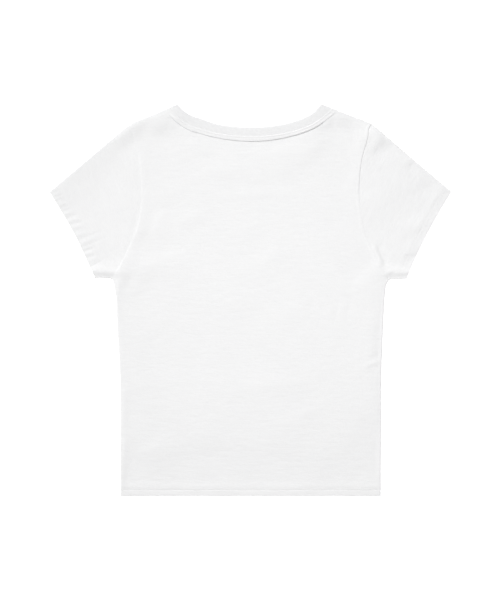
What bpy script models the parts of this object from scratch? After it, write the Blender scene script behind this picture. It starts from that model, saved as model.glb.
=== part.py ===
"""A short, fitted t-shirt of cotton jersey, laid flat with its back panel up.

The pattern is drawn flat in millimetres, each piece carried past the folded edges of the
laid shirt to its seam. "wrap" then rolls what lies past a fold line round the fold, so that
the front, the back, the sleeves and the neckband meet edge to edge, half way up each fold.
X runs across the shirt, +Y to the neck, and +Z up from the table, with the origin on the
table under the middle of the shirt.
"""

import math
from collections import namedtuple

import bmesh
import bpy
import numpy as np

MM = 0.001

# Cloth and seams
CLOTH = 1.0
SEAM_GAP = 0.3
LAYER_GAP = 0.35
FOLD_RADIUS = 1.4
HALF_CLOTH = CLOTH / 2
MID_HEIGHT = FOLD_RADIUS + HALF_CLOTH
EDGE_INSET = FOLD_RADIUS + HALF_CLOTH
SEAM_REACH = FOLD_RADIUS * math.pi / 2

# The outline of the laid shirt: half widths from the middle, drops from the neck points
LENGTH = 587.4
NECK_POINT = (107.0, 0.0)
SHOULDER_POINT = (181.8, 30.2)
CUFF_TOP = (301.5, 131.5)
CUFF_BOTTOM = (233.5, 261.8)
UNDERARM = (207.5, 262.6)
CUFF_BOW = 3.0
SHOULDER_ROUNDING = 4.0
UNDERARM_ROUNDING = 7.0

Station = namedtuple("Station", "half_width drop")

SIDE_SEAM = (
    Station(half_width=208.0, drop=250.0),
    Station(half_width=206.0, drop=263.0),
    Station(half_width=203.2, drop=272.0),
    Station(half_width=201.6, drop=285.0),
    Station(half_width=199.8, drop=315.0),
    Station(half_width=198.0, drop=355.0),
    Station(half_width=196.2, drop=395.0),
    Station(half_width=195.2, drop=430.0),
    Station(half_width=195.0, drop=500.0),
    Station(half_width=195.0, drop=600.0),
)
ARMHOLE = (
    Station(half_width=175.8, drop=51.0),
    Station(half_width=168.0, drop=81.0),
    Station(half_width=164.2, drop=111.0),
    Station(half_width=163.6, drop=135.0),
    Station(half_width=166.0, drop=164.0),
    Station(half_width=172.2, drop=192.0),
    Station(half_width=184.0, drop=219.0),
    Station(half_width=196.5, drop=243.5),
)
BACK_NECKLINE = (
    Station(half_width=115.0, drop=12.2),
    Station(half_width=109.6, drop=18.0),
    Station(half_width=100.0, drop=26.2),
    Station(half_width=87.5, drop=33.0),
    Station(half_width=70.0, drop=39.4),
    Station(half_width=50.0, drop=44.4),
    Station(half_width=25.0, drop=47.9),
    Station(half_width=0.0, drop=48.9),
)
FRONT_NECKLINE = (
    Station(half_width=115.2, drop=13.0),
    Station(half_width=109.5, drop=29.0),
    Station(half_width=99.0, drop=50.0),
    Station(half_width=82.0, drop=71.0),
    Station(half_width=58.0, drop=87.5),
    Station(half_width=30.0, drop=97.0),
    Station(half_width=0.0, drop=100.0),
)
NECK_SEAM_AT_SHOULDER = (119.4, 4.9)

# Neckband, tape band below it, armhole ridge and hems
BAND_WIDTH = 14.0
BAND_OUTSIDE = 1.25
BAND_INSIDE = 0.7
BAND_THICKNESS = 2.0
TAPE_WIDTH = 6.5
TAPE_RAISE = 0.8
RIDGE_WIDTH = 4.2
RIDGE_SLOPE = 2.6
RIDGE_RAISE = 0.5
RIDGE_END = 10.0
HEM_DEPTH = 15.0
HEM_SLOPE = 2.5
HEM_RAISE = 0.7
HEM_ROUNDING = 1.3
STITCH_LINE = 9.3
STITCH_SINK = 0.35

BandLine = namedtuple("BandLine", "across fullness")

BAND_LINES = (
    BandLine(across=SEAM_GAP / 2, fullness=1.0),
    BandLine(across=2.5, fullness=1.0),
    BandLine(across=7.0, fullness=1.0),
    BandLine(across=BAND_WIDTH - 1.4, fullness=0.85),
    BandLine(across=BAND_WIDTH, fullness=0.35),
)

# How the back lies over the front: over its band, in its neck opening and over its hem
OVER_BAND = CLOTH + CLOTH + LAYER_GAP + BAND_INSIDE
IN_OPENING = 1.25
OVER_HEM = HEM_RAISE + 0.1
EDGE_EASE = 11.0
BAND_EASE = 12.0
HEM_EASE = 7.0

# Distances of grid lines from an edge
ROLL_LINES = (0.8, 1.5, 2.2)
NECK_LINES = (SEAM_GAP / 2,) + ROLL_LINES + (4.4, 5.9, TAPE_WIDTH, 7.1, 9.5)
SIDE_LINES = (0.0,) + ROLL_LINES + (3.4, RIDGE_WIDTH, 6.0, 10.0)
HEM_LINES = (0.0, 0.5, 1.3, 8.6, STITCH_LINE, 10.0, 14.0, HEM_DEPTH + 1.5)
PLAIN_HEM_LINES = (0.0, 0.5, 1.3, 14.0, HEM_DEPTH + 1.5)
UNDERARM_LINES = (0.0, 1.1, 2.2, 4.5, 9.0)
SIDE_TOP_LINES = (1.5, 4.0, 9.0)
SHOULDER_END_LINES = (0.0, 8.0)
NECK_COLUMNS = (0.0, 1.1, 2.2, 6.0, 11.0, 17.0)
SLEEVE_HEAD_LINES = (SEAM_GAP / 2, 1.5, 3.6)
CORNER_SPREAD = 42.0
ARMHOLE_SPREAD = 26.0
SHOULDER_FADE = 1.3
BACK_COLUMN_PITCH = 15.0
FRONT_COLUMN_PITCH = 18.0
ROW_PITCH = 16.0
SIDE_PITCH = 20.0
SLEEVE_ROWS = 6

# Seams near a fold run straight for FOLD_LEAD before they reach it
FOLD_LEAD = 6.0
REACH_STEPS = 6
SIDE_SEAM_POINTS = 80
SHARP_ANGLE = math.radians(50)

Nudge = namedtuple("Nudge", "x drop aside up reach")

# Where the shirt lies a little off its even outline
NUDGES = (
    Nudge(x=-72.0, drop=22.0, aside=0.0, up=1.6, reach=14.0),
    Nudge(x=-92.0, drop=37.0, aside=0.0, up=-1.2, reach=13.0),
    Nudge(x=-222.0, drop=262.0, aside=0.6, up=1.2, reach=26.0),
    Nudge(x=-262.0, drop=200.0, aside=0.9, up=0.2, reach=34.0),
    Nudge(x=216.0, drop=262.0, aside=0.4, up=-0.6, reach=24.0),
    Nudge(x=184.0, drop=34.0, aside=0.8, up=0.7, reach=40.0),
    Nudge(x=196.0, drop=480.0, aside=0.8, up=0.0, reach=90.0),
    Nudge(x=-197.0, drop=330.0, aside=-0.8, up=0.0, reach=36.0),
    Nudge(x=-107.0, drop=4.0, aside=-2.8, up=-0.3, reach=24.0),
    Nudge(x=106.0, drop=3.0, aside=-1.6, up=0.2, reach=9.0),
    Nudge(x=124.0, drop=9.0, aside=3.0, up=-1.2, reach=12.0),
)

Fold = namedtuple("Fold", "x drop to_x to_drop width height")

# Soft folds of the back panel and the top of the sleeves, each a rounded ridge that is
# FOLD_END_SHARE of its height at its ends
FOLD_END_SHARE = 0.55
SOFT_FOLDS = (
    Fold(x=-160, drop=212, to_x=-104, to_drop=232, width=9, height=1.2),
    Fold(x=-138, drop=168, to_x=-118, to_drop=186, width=10, height=1.0),
    Fold(x=-78, drop=96, to_x=-8, to_drop=84, width=14, height=0.9),
    Fold(x=2, drop=218, to_x=44, to_drop=232, width=11, height=0.9),
    Fold(x=158, drop=242, to_x=186, to_drop=258, width=7, height=1.0),
    Fold(x=84, drop=296, to_x=90, to_drop=330, width=5, height=0.8),
    Fold(x=103, drop=292, to_x=106, to_drop=326, width=5, height=0.8),
    Fold(x=140, drop=298, to_x=146, to_drop=336, width=6, height=0.8),
    Fold(x=168, drop=396, to_x=196, to_drop=381, width=5, height=0.9),
    Fold(x=-120, drop=300, to_x=-172, to_drop=352, width=16, height=1.0),
    Fold(x=-84, drop=498, to_x=-44, to_drop=510, width=12, height=0.9),
    Fold(x=96, drop=470, to_x=160, to_drop=520, width=20, height=1.2),
    Fold(x=-30, drop=350, to_x=60, to_drop=372, width=20, height=0.8),
    Fold(x=-150, drop=520, to_x=-90, to_drop=560, width=14, height=0.8),
    Fold(x=30, drop=130, to_x=120, to_drop=150, width=18, height=0.9),
    Fold(x=-60, drop=140, to_x=20, to_drop=146, width=12, height=0.7),
    Fold(x=-232, drop=118, to_x=-196, to_drop=176, width=11, height=1.4),
    Fold(x=-268, drop=172, to_x=-214, to_drop=214, width=9, height=1.2),
    Fold(x=-222, drop=236, to_x=-204, to_drop=250, width=6, height=1.3),
    Fold(x=212, drop=108, to_x=196, to_drop=168, width=11, height=1.3),
    Fold(x=262, drop=150, to_x=240, to_drop=196, width=10, height=1.2),
    Fold(x=224, drop=214, to_x=216, to_drop=244, width=7, height=1.3),
)

# Colour and finish: name of the piece and its base colour, all matt cotton
JERSEY_WHITE = (0.87, 0.87, 0.87, 1.0)
RIB_WHITE = (0.84, 0.84, 0.84, 1.0)
JERSEY_ROUGHNESS = 0.9

TOP = 1
BOTTOM = -1


def place(half_width, drop):
    """A point of the pattern plane from its half width and its drop below the neck points."""
    return np.array([half_width, LENGTH / 2 - drop])


def unit(vectors):
    """The same vectors, one long."""
    return vectors / np.maximum(np.linalg.norm(vectors, axis=-1, keepdims=True), 1e-9)


def arc_lengths(line):
    """Distance along a line of points at each of them."""
    steps = np.linalg.norm(np.diff(line, axis=0), axis=1)
    return np.concatenate([[0.0], np.cumsum(steps)])


def smooth_line(points, step=0.5):
    """A dense line through a few points, with the direction easing from point to point."""
    points = np.asarray(points, dtype=float)
    chord = arc_lengths(points)
    slope = np.gradient(points, chord, axis=0)
    at = np.linspace(0.0, chord[-1], int(chord[-1] / step) + 2)
    span = np.clip(np.searchsorted(chord, at, side="right") - 1, 0, len(points) - 2)
    size = (chord[span + 1] - chord[span])[:, None]
    t = (at - chord[span])[:, None] / size
    start = (1 + 2 * t) * (1 - t) ** 2 * points[span] + t * (1 - t) ** 2 * size * slope[span]
    end = t * t * (3 - 2 * t) * points[span + 1] - t * t * (1 - t) * size * slope[span + 1]
    return start + end


def points_along(line, distances):
    """Points of a dense line at the given distances from its start."""
    length = arc_lengths(line)
    return np.stack([np.interp(distances, length, line[:, axis]) for axis in (0, 1)], axis=1)


def directions_along(line, distances, reach=1.0):
    """Directions of a dense line at the given distances from its start."""
    ahead = points_along(line, np.minimum(distances + reach, arc_lengths(line)[-1]))
    behind = points_along(line, np.maximum(distances - reach, 0.0))
    return unit(ahead - behind)


def graded(length, head, tail, pitch):
    """Distances along an edge: fixed ones from each end, and even ones between."""
    start = head[-1]
    end = length - tail[-1]
    count = max(1, round((end - start) / pitch))
    middle = np.linspace(start, end, count + 1)[1:-1]
    return np.concatenate([head, middle, [length - mark for mark in reversed(tail)]])


def smooth_max(a, b, rounding):
    """The larger of two values, rounded where they are close."""
    near = np.maximum(rounding - np.abs(a - b), 0.0) / rounding
    return np.maximum(a, b) + near * near * rounding / 4


def ease(value):
    """0 to 1 with a level start and end."""
    value = np.clip(value, 0.0, 1.0)
    return value * value * (3 - 2 * value)


def past_line(points, start, end):
    """Distance of points past the fold line along an outline edge, outward to its left."""
    along = unit(place(*end) - place(*start))
    outward = np.array([-along[1], along[0]])
    return (points - place(*start)) @ outward + EDGE_INSET


SIDE_LINE = smooth_line([place(*station) for station in SIDE_SEAM])


def past_fold(points):
    """Distance of pattern points past the nearest fold line of the laid shirt."""
    right = np.stack([np.abs(points[..., 0]), points[..., 1]], axis=-1)
    shoulder = past_line(right, NECK_POINT, SHOULDER_POINT)
    sleeve_top = past_line(right, SHOULDER_POINT, CUFF_TOP)
    upper = smooth_max(shoulder, sleeve_top, SHOULDER_ROUNDING)
    underarm = past_line(right, CUFF_BOTTOM, UNDERARM)
    side_x = np.interp(-right[..., 1], -SIDE_LINE[:, 1], SIDE_LINE[:, 0])
    side = right[..., 0] - side_x + EDGE_INSET
    lower = -smooth_max(-underarm, -side, UNDERARM_ROUNDING)
    return np.maximum(upper, lower)


def fold_direction(points, nudge=0.05):
    """The way straight out across the nearest fold line."""
    slopes = []
    for axis in (0, 1):
        step = np.zeros(2)
        step[axis] = nudge
        slopes.append(past_fold(points + step) - past_fold(points - step))
    return unit(np.stack(slopes, axis=-1))


def at_reach(points, reach):
    """The given points, moved straight across the fold until they lie this far past it."""
    for _ in range(REACH_STEPS):
        points = points + (reach - past_fold(points))[..., None] * fold_direction(points)
    return points


def past_both_ways(point, marks=(-FOLD_LEAD, 0.0, SEAM_REACH)):
    """Points from inside the fold to its seam, in a straight line across the fold."""
    foot = at_reach(np.asarray(point, dtype=float), 0.0)
    outward = fold_direction(foot)
    return [foot + outward * mark for mark in marks]


def armhole_line():
    """The armhole seam from the shoulder fold to the underarm fold."""
    top = past_both_ways(place(*SHOULDER_POINT))[::-1]
    middle = [place(*station) for station in ARMHOLE]
    bottom = past_both_ways(place(*UNDERARM))
    return smooth_line(top + middle + bottom)


def neck_line(stations):
    """A neckline seam from the shoulder fold to the middle."""
    top = past_both_ways(place(*NECK_SEAM_AT_SHOULDER), marks=(0.0, SEAM_REACH))[::-1]
    return smooth_line(top + [place(*station) for station in stations])


def side_line():
    """The side seam from the underarm to the hem, half way round the fold."""
    drops = np.linspace(UNDERARM[1] + FOLD_LEAD, LENGTH, SIDE_SEAM_POINTS)
    half_widths = np.interp(drops, LENGTH / 2 - SIDE_LINE[:, 1], SIDE_LINE[:, 0])
    outline = np.stack([half_widths, LENGTH / 2 - drops], axis=1)
    return smooth_line(np.vstack([ARMHOLE_LINE[-1:], at_reach(outline, SEAM_REACH)]))


ARMHOLE_LINE = armhole_line()
BACK_NECK_LINE = neck_line(BACK_NECKLINE)
FRONT_NECK_LINE = neck_line(FRONT_NECKLINE)
SIDE_EDGE_LINE = side_line()


def inside_front_neck(points):
    """Distance of points inside the front neck seam, negative below it."""
    right = np.stack([np.abs(points[..., 0]), points[..., 1]], axis=-1)
    gaps = np.linalg.norm(right[..., None, :] - FRONT_NECK_LINE[::4], axis=-1)
    line_y = np.interp(right[..., 0], FRONT_NECK_LINE[::-1, 0], FRONT_NECK_LINE[::-1, 1])
    inside = (right[..., 1] > line_y) & (right[..., 0] < FRONT_NECK_LINE[:, 0].max())
    return np.where(inside, 1, -1) * gaps.min(axis=-1)


def from_cuff(points):
    """Distance of points up the sleeve from the straight line between the cuff's corners.

    Below the lower corner it grows again, because that line runs on across the body.
    """
    right = np.stack([np.abs(points[..., 0]), points[..., 1]], axis=-1)
    top = place(*CUFF_TOP)
    bottom = place(*CUFF_BOTTOM)
    along = unit(bottom - top)
    inward = np.array([along[1], -along[0]])
    below = np.maximum(bottom[1] - right[..., 1], 0.0)
    return (right - top) @ inward + below


def soft_folds(points):
    """Rise of the back and the sleeve tops in their soft folds."""
    rise = np.zeros(points.shape[:-1])
    for fold in SOFT_FOLDS:
        start = place(fold.x, fold.drop)
        run = place(fold.to_x, fold.to_drop) - start
        along = np.clip((points - start) @ run / (run @ run), 0.0, 1.0)
        off = np.linalg.norm(points - start - along[..., None] * run, axis=-1)
        swell = FOLD_END_SHARE + (1 - FOLD_END_SHARE) * np.sin(math.pi * along)
        rise = rise + fold.height * swell * np.exp(-((off / fold.width) ** 2))
    return rise


def top_height(points):
    """Height of the top layer's middle face over the table, away from the folds."""
    rest = CLOTH + LAYER_GAP + HALF_CLOTH
    neck = inside_front_neck(points)
    over_band = ease(1 + (neck + 1.0) / BAND_EASE)
    in_opening = ease((neck - BAND_WIDTH - 1.0) / BAND_EASE)
    height = rest + (OVER_BAND - rest) * over_band + (IN_OPENING - OVER_BAND) * in_opening
    to_edge = np.minimum(points[..., 1] + LENGTH / 2, np.maximum(from_cuff(points), 0.0))
    height = height + OVER_HEM * ease(1 + (HEM_DEPTH + HEM_SLOPE - to_edge) / HEM_EASE)
    height = height + soft_folds(points)
    to_fold = np.minimum(past_fold(points), 0.0)
    at_edge = np.exp(-((to_fold / EDGE_EASE) ** 2))
    return height + (MID_HEIGHT + FOLD_RADIUS - height) * at_edge


def nudged(plan):
    """The same places, moved as the shirt lies off its even outline."""
    moved = plan
    for nudge in NUDGES:
        off = np.linalg.norm(plan - place(nudge.x, nudge.drop), axis=-1) / nudge.reach
        moved = moved + np.exp(-(off**2))[..., None] * np.array([nudge.aside, nudge.up])
    return moved


def wrap(points, layer):
    """Where pattern points of the top or bottom layer's middle face lie on the table."""
    reach = np.maximum(past_fold(points), 0.0)
    outward = fold_direction(points)
    foot = points - outward * reach[..., None]
    turn = reach / FOLD_RADIUS
    plan = nudged(foot + outward * (FOLD_RADIUS * np.sin(turn))[..., None])
    flat = np.where(layer == TOP, top_height(foot), HALF_CLOTH)
    height = MID_HEIGHT + (flat - MID_HEIGHT) * np.cos(turn)
    return np.concatenate([plan, height[..., None]], axis=-1)


def outward_normals(points, layer, nudge=0.02):
    """Directions straight out of the cloth, up on the top layer and down on the bottom one."""
    along_x = wrap(points + np.array([nudge, 0.0]), layer)
    along_y = wrap(points + np.array([0.0, nudge]), layer)
    here = wrap(points, layer)
    upward = unit(np.cross(along_x - here, along_y - here))
    return upward * np.asarray(layer)[..., None]


def faces_of_wall(points, layer, outside, inside):
    """The outer and inner face of a wall about the middle face of a grid of pattern points."""
    middle = wrap(points, layer)
    normal = outward_normals(points, layer)
    return middle + normal * outside[..., None], middle - normal * inside[..., None]


def build_wall(name, points, layer, outside, inside, color, closed=False):
    """A cloth piece: a grid bent to its inner face and extruded to its outer face."""
    outer, inner = faces_of_wall(points, layer, outside, inside)
    rows, columns = points.shape[:2]
    mesh_edit = bmesh.new()
    bmesh.ops.create_grid(mesh_edit, x_segments=columns - 1, y_segments=rows - 1, size=0.5)
    number = mesh_edit.verts.layers.int.new("number")
    for index, vert in enumerate(mesh_edit.verts):
        vert[number] = index
        vert.co = inner.reshape(-1, 3)[index] * MM
    if closed:
        bmesh.ops.remove_doubles(mesh_edit, verts=mesh_edit.verts[:], dist=0.00001)
    grown = bmesh.ops.extrude_face_region(mesh_edit, geom=mesh_edit.faces[:])
    for part in grown["geom"]:
        if isinstance(part, bmesh.types.BMVert):
            part.co = outer.reshape(-1, 3)[part[number]] * MM
    if mesh_edit.calc_volume(signed=True) < 0:
        bmesh.ops.reverse_faces(mesh_edit, faces=mesh_edit.faces[:])
    mesh = bpy.data.meshes.new(name)
    mesh_edit.to_mesh(mesh)
    mesh_edit.free()
    mesh.shade_smooth()
    mesh.set_sharp_from_angle(angle=SHARP_ANGLE)
    mesh.materials.append(matt_cotton(name, color))
    piece = bpy.data.objects.new(name, mesh)
    bpy.context.collection.objects.link(piece)
    return piece


def matt_cotton(name, color):
    """A matt white cotton for one piece."""
    material = bpy.data.materials.new(name + "_cotton")
    material.use_nodes = True
    shader = material.node_tree.nodes["Principled BSDF"]
    shader.inputs["Base Color"].default_value = color
    shader.inputs["Roughness"].default_value = JERSEY_ROUGHNESS
    shader.inputs["Metallic"].default_value = 0.0
    return material


def hem_shape(distance):
    """Extra thickness of a turned-up hem at a distance from its edge, with its stitch line."""
    raised = HEM_RAISE * ease((HEM_LINES[-1] - distance) / HEM_SLOPE)
    stitched = STITCH_SINK * np.isclose(distance, STITCH_LINE, atol=0.1)
    rounded = HALF_CLOTH * np.clip(1 - distance / HEM_ROUNDING, 0.0, 1.0) ** 2
    return raised - stitched - rounded


def facing_up(points, layer):
    """How far the cloth's outer face points up: 1 on the top layer, 0 on the bottom one."""
    turn = np.maximum(past_fold(points), 0.0) / FOLD_RADIUS
    return 0.5 + 0.5 * layer * np.cos(turn)


def mirrored(half):
    """A whole grid from its right half, whose last column lies on the middle line."""
    return np.concatenate([half[:, :-1] * (-1.0, 1.0), half[:, ::-1]], axis=1)


def both_halves(half):
    """Values of a whole grid from those of one half."""
    return np.concatenate([half[:, :-1], half[:, ::-1]], axis=1)


def armhole_distances():
    """Grid lines along the armhole seam, from the shoulder to the underarm."""
    length = arc_lengths(ARMHOLE_LINE)[-1]
    return graded(length, NECK_LINES, UNDERARM_LINES, ROW_PITCH)


def neck_distances(line, pitch):
    """Grid lines along half a neck seam, from the shoulder to the middle."""
    return graded(arc_lengths(line)[-1], NECK_COLUMNS, (0.0,), pitch)


def top_edge(neck, pitch):
    """Half a panel's shoulder and neck seam, and the way into the panel at each point."""
    run = neck[0] - ARMHOLE_LINE[0]
    length = np.linalg.norm(run)
    marks = graded(length, SIDE_LINES, SHOULDER_END_LINES, pitch)[:-1]
    shoulder = at_reach(ARMHOLE_LINE[0] + marks[:, None] * unit(run), SEAM_REACH)
    lean = ease(1 - (length - marks) / CORNER_SPREAD)[:, None]
    shoulder_in = -fold_direction(shoulder) - lean * unit(run)
    marks = neck_distances(neck, pitch)
    curve = points_along(neck, marks)
    forward = directions_along(neck, marks)
    lean = ease(1 - marks / CORNER_SPREAD)[:, None]
    neck_in = np.stack([-forward[:, 1], forward[:, 0]], axis=1) + lean * forward
    neck_in[-1] = (0.0, -1.0)
    return np.vstack([shoulder, curve]), np.vstack([shoulder_in, neck_in])


def panel_points(neck, column_pitch, hem_lines):
    """Pattern points of half a body panel, and their distances along its two seams."""
    top, inward = top_edge(neck, column_pitch)
    across = arc_lengths(top)
    armhole_marks = armhole_distances()
    side_length = arc_lengths(SIDE_EDGE_LINE)[-1]
    side_marks = graded(side_length, SIDE_TOP_LINES, hem_lines, SIDE_PITCH)
    down = np.concatenate([armhole_marks, armhole_marks[-1] + side_marks])
    armhole = points_along(ARMHOLE_LINE, armhole_marks)
    side = np.vstack([armhole, points_along(SIDE_EDGE_LINE, side_marks)])

    at_side = ease(1 - across / ARMHOLE_SPREAD)[:, None]
    strip = []
    for mark, end in zip(NECK_LINES, armhole):
        straight = top + mark * inward
        guided = top + (end - ARMHOLE_LINE[0])
        strip.append(straight + (guided - straight) * at_side)
    start = strip[-1]
    start[-1, 0] = 0.0

    first = len(NECK_LINES) - 1
    hem_start = len(down) - len(hem_lines)
    share = (down - down[first]) / (down[hem_start] - down[first])
    share = np.clip(share, 0.0, 1.0)[first + 1:, None]
    middle_y = start[-1, 1] + share * (max(hem_lines) - LENGTH / 2 - start[-1, 1])
    middle_y[-len(hem_lines):, 0] = np.array(hem_lines[::-1]) - LENGTH / 2
    middle = np.concatenate([np.zeros_like(middle_y), middle_y], axis=1)[:, None, :]
    u = (across / across[-1])[None, :, None]
    bulge = start - (1 - u) * start[0] - u * start[-1]
    fade = ((1 - share) ** SHOULDER_FADE)[..., None]
    body = (1 - u) * side[first + 1:][:, None, :] + u * middle + fade * bulge
    points = np.concatenate([np.array(strip), body])
    points[:, 0] += unit(points[:, 1] - points[:, 0]) * SEAM_GAP / 2
    return points, across, down


def back_relief(across, down):
    """Extra thickness of half the back: the tape band by the neck and the armhole ridge."""
    corner = across[-1] - arc_lengths(BACK_NECK_LINE)[-1] - 0.5
    tape = TAPE_RAISE * (down <= TAPE_WIDTH)[:, None] * (across >= corner)[None, :]
    armhole_end = arc_lengths(ARMHOLE_LINE)[-1]
    above_underarm = ease(0.5 + (armhole_end - down) / RIDGE_END)[:, None]
    turned_in = 0.5 * (across == 0.0)
    hump = ease(0.5 + (RIDGE_WIDTH + RIDGE_SLOPE / 4 - across) / RIDGE_SLOPE) - turned_in
    return np.maximum(tape, RIDGE_RAISE * hump[None, :] * above_underarm)


def build_panel(name, neck, layer, column_pitch, hem_lines):
    """The front or the back panel, with its hem, tape band and armhole ridges."""
    half, across, down = panel_points(neck, column_pitch, hem_lines)
    points = mirrored(half)
    layers = np.full(points.shape[:2], layer)
    extra = hem_shape(points[..., 1] + LENGTH / 2)
    if layer == TOP:
        extra = extra + both_halves(back_relief(across, down))
    up = facing_up(points, layers)
    outside = HALF_CLOTH + extra * up
    inside = HALF_CLOTH + extra * (1 - up)
    return build_wall(name, points, layers, outside, inside, JERSEY_WHITE)


def sleeve_points():
    """Pattern points of one layer of the right sleeve, and their distances from the cuff."""
    around = armhole_distances()
    around[0] = 0.0
    armhole = points_along(ARMHOLE_LINE, around)
    share = (around / around[-1])[:, None]
    top, bottom = [past_both_ways(place(*corner))[-1] for corner in (CUFF_TOP, CUFF_BOTTOM)]
    down_cuff = unit(bottom - top)
    up_sleeve = np.array([down_cuff[1], -down_cuff[0]])
    cuff = top + share * (bottom - top) + CUFF_BOW * 4 * share * (1 - share) * up_sleeve
    column = cuff - armhole
    length = np.linalg.norm(column, axis=1)[:, None]
    slant = -(column / length) @ up_sleeve[:, None]
    tail = length - np.array(HEM_LINES[::-1])[None, :] / slant
    head = np.array(SLEEVE_HEAD_LINES)[None, :] * np.ones_like(length)
    steps = np.linspace(0.0, 1.0, SLEEVE_ROWS + 2)[None, 1:-1]
    between = head[:, -1:] + steps * (tail[:, :1] - head[:, -1:])
    marks = np.concatenate([head, between, tail], axis=1)
    points = armhole[:, None, :] + marks[..., None] * (column / length)[:, None, :]
    for end in (0, -1):
        points[end] = at_reach(points[end], SEAM_REACH)
    from_edge = (length - marks) * slant
    return points.transpose(1, 0, 2), from_edge.T


def build_sleeve(name, side):
    """One sleeve: a flattened tube from the armhole to its turned-up cuff."""
    half, from_edge = sleeve_points()
    points = np.concatenate([half, half[:, -2::-1]], axis=1) * (side, 1.0)
    layers = np.full(points.shape[:2], BOTTOM)
    layers[:, :half.shape[1]] = TOP
    extra = hem_shape(np.concatenate([from_edge, from_edge[:, -2::-1]], axis=1))
    up = facing_up(points, layers)
    outside = HALF_CLOTH + extra * up
    inside = HALF_CLOTH + extra * (1 - up)
    return build_wall(name, points, layers, outside, inside, JERSEY_WHITE, closed=True)


def band_half(line, pitch):
    """Pattern points of the neckband beside half a neck seam, from the shoulder inward."""
    marks = neck_distances(line, pitch)
    seam = points_along(line, marks)
    forward = directions_along(line, marks)
    into_neck = np.stack([forward[:, 1], -forward[:, 0]], axis=1)
    into_neck[-1] = (0.0, 1.0)
    rows = np.array([line.across for line in BAND_LINES])[:, None, None]
    return seam[None] + rows * into_neck[None]


def build_neckband():
    """The rib ring round the neck: across the back, over both shoulder folds and down in front."""
    back = mirrored(band_half(BACK_NECK_LINE, BACK_COLUMN_PITCH))
    front = mirrored(band_half(FRONT_NECK_LINE, FRONT_COLUMN_PITCH))
    points = np.concatenate([back, front[:, -2::-1]], axis=1)
    layers = np.full(points.shape[:2], BOTTOM)
    layers[:, :back.shape[1]] = TOP
    up = facing_up(points, layers)
    fullness = np.array([line.fullness for line in BAND_LINES])[:, None]
    outside = BAND_OUTSIDE * up + HALF_CLOTH * (1 - up)
    inside = BAND_INSIDE * up + (BAND_THICKNESS - HALF_CLOTH) * (1 - up)
    outside = outside * fullness
    inside = inside * fullness
    return build_wall("neckband", points, layers, outside, inside, RIB_WHITE, closed=True)


def main():
    """Builds every piece of the shirt."""
    for leftover in list(bpy.data.objects):
        bpy.data.objects.remove(leftover, do_unlink=True)
    build_panel("front", FRONT_NECK_LINE, BOTTOM, FRONT_COLUMN_PITCH, PLAIN_HEM_LINES)
    build_panel("back", BACK_NECK_LINE, TOP, BACK_COLUMN_PITCH, HEM_LINES)
    build_sleeve("sleeve_left", -1)
    build_sleeve("sleeve_right", 1)
    build_neckband()


main()
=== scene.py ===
"""A short, fitted cotton t-shirt, laid flat with its back up on a pale studio table.

The shirt is five sewn pieces: the front and the back of plain jersey, two sleeves of the same
cloth and a rib neckband. Each is drawn flat on the pattern plane, in millimetres, out to its
seams, and then laid: what lies past a fold line is rolled round the fold, so that the pieces
meet edge to edge at their seams. Seam ridges, turned-up hems, puckers and soft folds are raised
in the cloth itself, and the needle rows are threads of their own.

X runs across the shirt, +Y to the neck and +Z up. The table is at Z = 0.
"""

import logging
import math
from dataclasses import dataclass, field
from enum import Enum
from typing import Any, Callable, Optional, Sequence, Union

import bmesh
import bpy
import numpy as np
from mathutils import Matrix, Vector


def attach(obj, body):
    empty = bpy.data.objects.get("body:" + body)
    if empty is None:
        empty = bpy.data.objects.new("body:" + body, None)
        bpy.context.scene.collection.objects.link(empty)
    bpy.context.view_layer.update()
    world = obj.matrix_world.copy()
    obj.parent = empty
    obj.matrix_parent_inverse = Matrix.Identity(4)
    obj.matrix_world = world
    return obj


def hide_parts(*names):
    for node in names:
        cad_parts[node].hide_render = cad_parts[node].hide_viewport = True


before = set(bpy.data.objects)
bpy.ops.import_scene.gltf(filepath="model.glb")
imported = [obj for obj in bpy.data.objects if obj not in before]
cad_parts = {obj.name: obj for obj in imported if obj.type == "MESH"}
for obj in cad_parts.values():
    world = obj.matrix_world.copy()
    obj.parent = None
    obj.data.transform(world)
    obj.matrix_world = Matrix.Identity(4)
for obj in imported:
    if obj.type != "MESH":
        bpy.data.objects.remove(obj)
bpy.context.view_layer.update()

MM = 0.001
log = logging.getLogger("shirt")

Array = np.ndarray
Link = Union["Value", bpy.types.NodeSocket, float, tuple]
Color = tuple[float, float, float, float]
Size = tuple[float, float]


# ----------------------------------------------------------------------------- plane geometry


def unit(vectors: Array) -> Array:
    """The same vectors, one long."""
    return vectors / np.maximum(np.linalg.norm(vectors, axis=-1, keepdims=True), 1e-9)


def table(kind: Callable[..., Any], *rows: Sequence[float]) -> tuple[Any, ...]:
    """One thing of a kind from each row, whose columns are the kind's fields in order."""
    return tuple(kind(*row) for row in rows)


def ease(value: Array) -> Array:
    """0 to 1 with a level start and end."""
    value = np.clip(value, 0.0, 1.0)
    return value * value * (3 - 2 * value)


def hump(offset: Array, width: float) -> Array:
    """A rounded ridge, 1 high at offset 0 and gone a little past its width."""
    return np.exp(-((offset / width) ** 2))


def fading(distance: Array, end: float, over: float) -> Array:
    """1 at small distances, easing to 0 over the last stretch before an end."""
    return ease((end - distance) / over)


def smooth_max(a: Array, b: Array, rounding: float) -> Array:
    """The larger of two values, rounded where they are close."""
    near = np.maximum(rounding - np.abs(a - b), 0.0) / rounding
    return np.maximum(a, b) + near * near * rounding / 4


def on_right(points: Array) -> Array:
    """The same points, those of the left half mirrored onto the right half."""
    return np.stack([np.abs(points[..., 0]), points[..., 1]], axis=-1)


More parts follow.
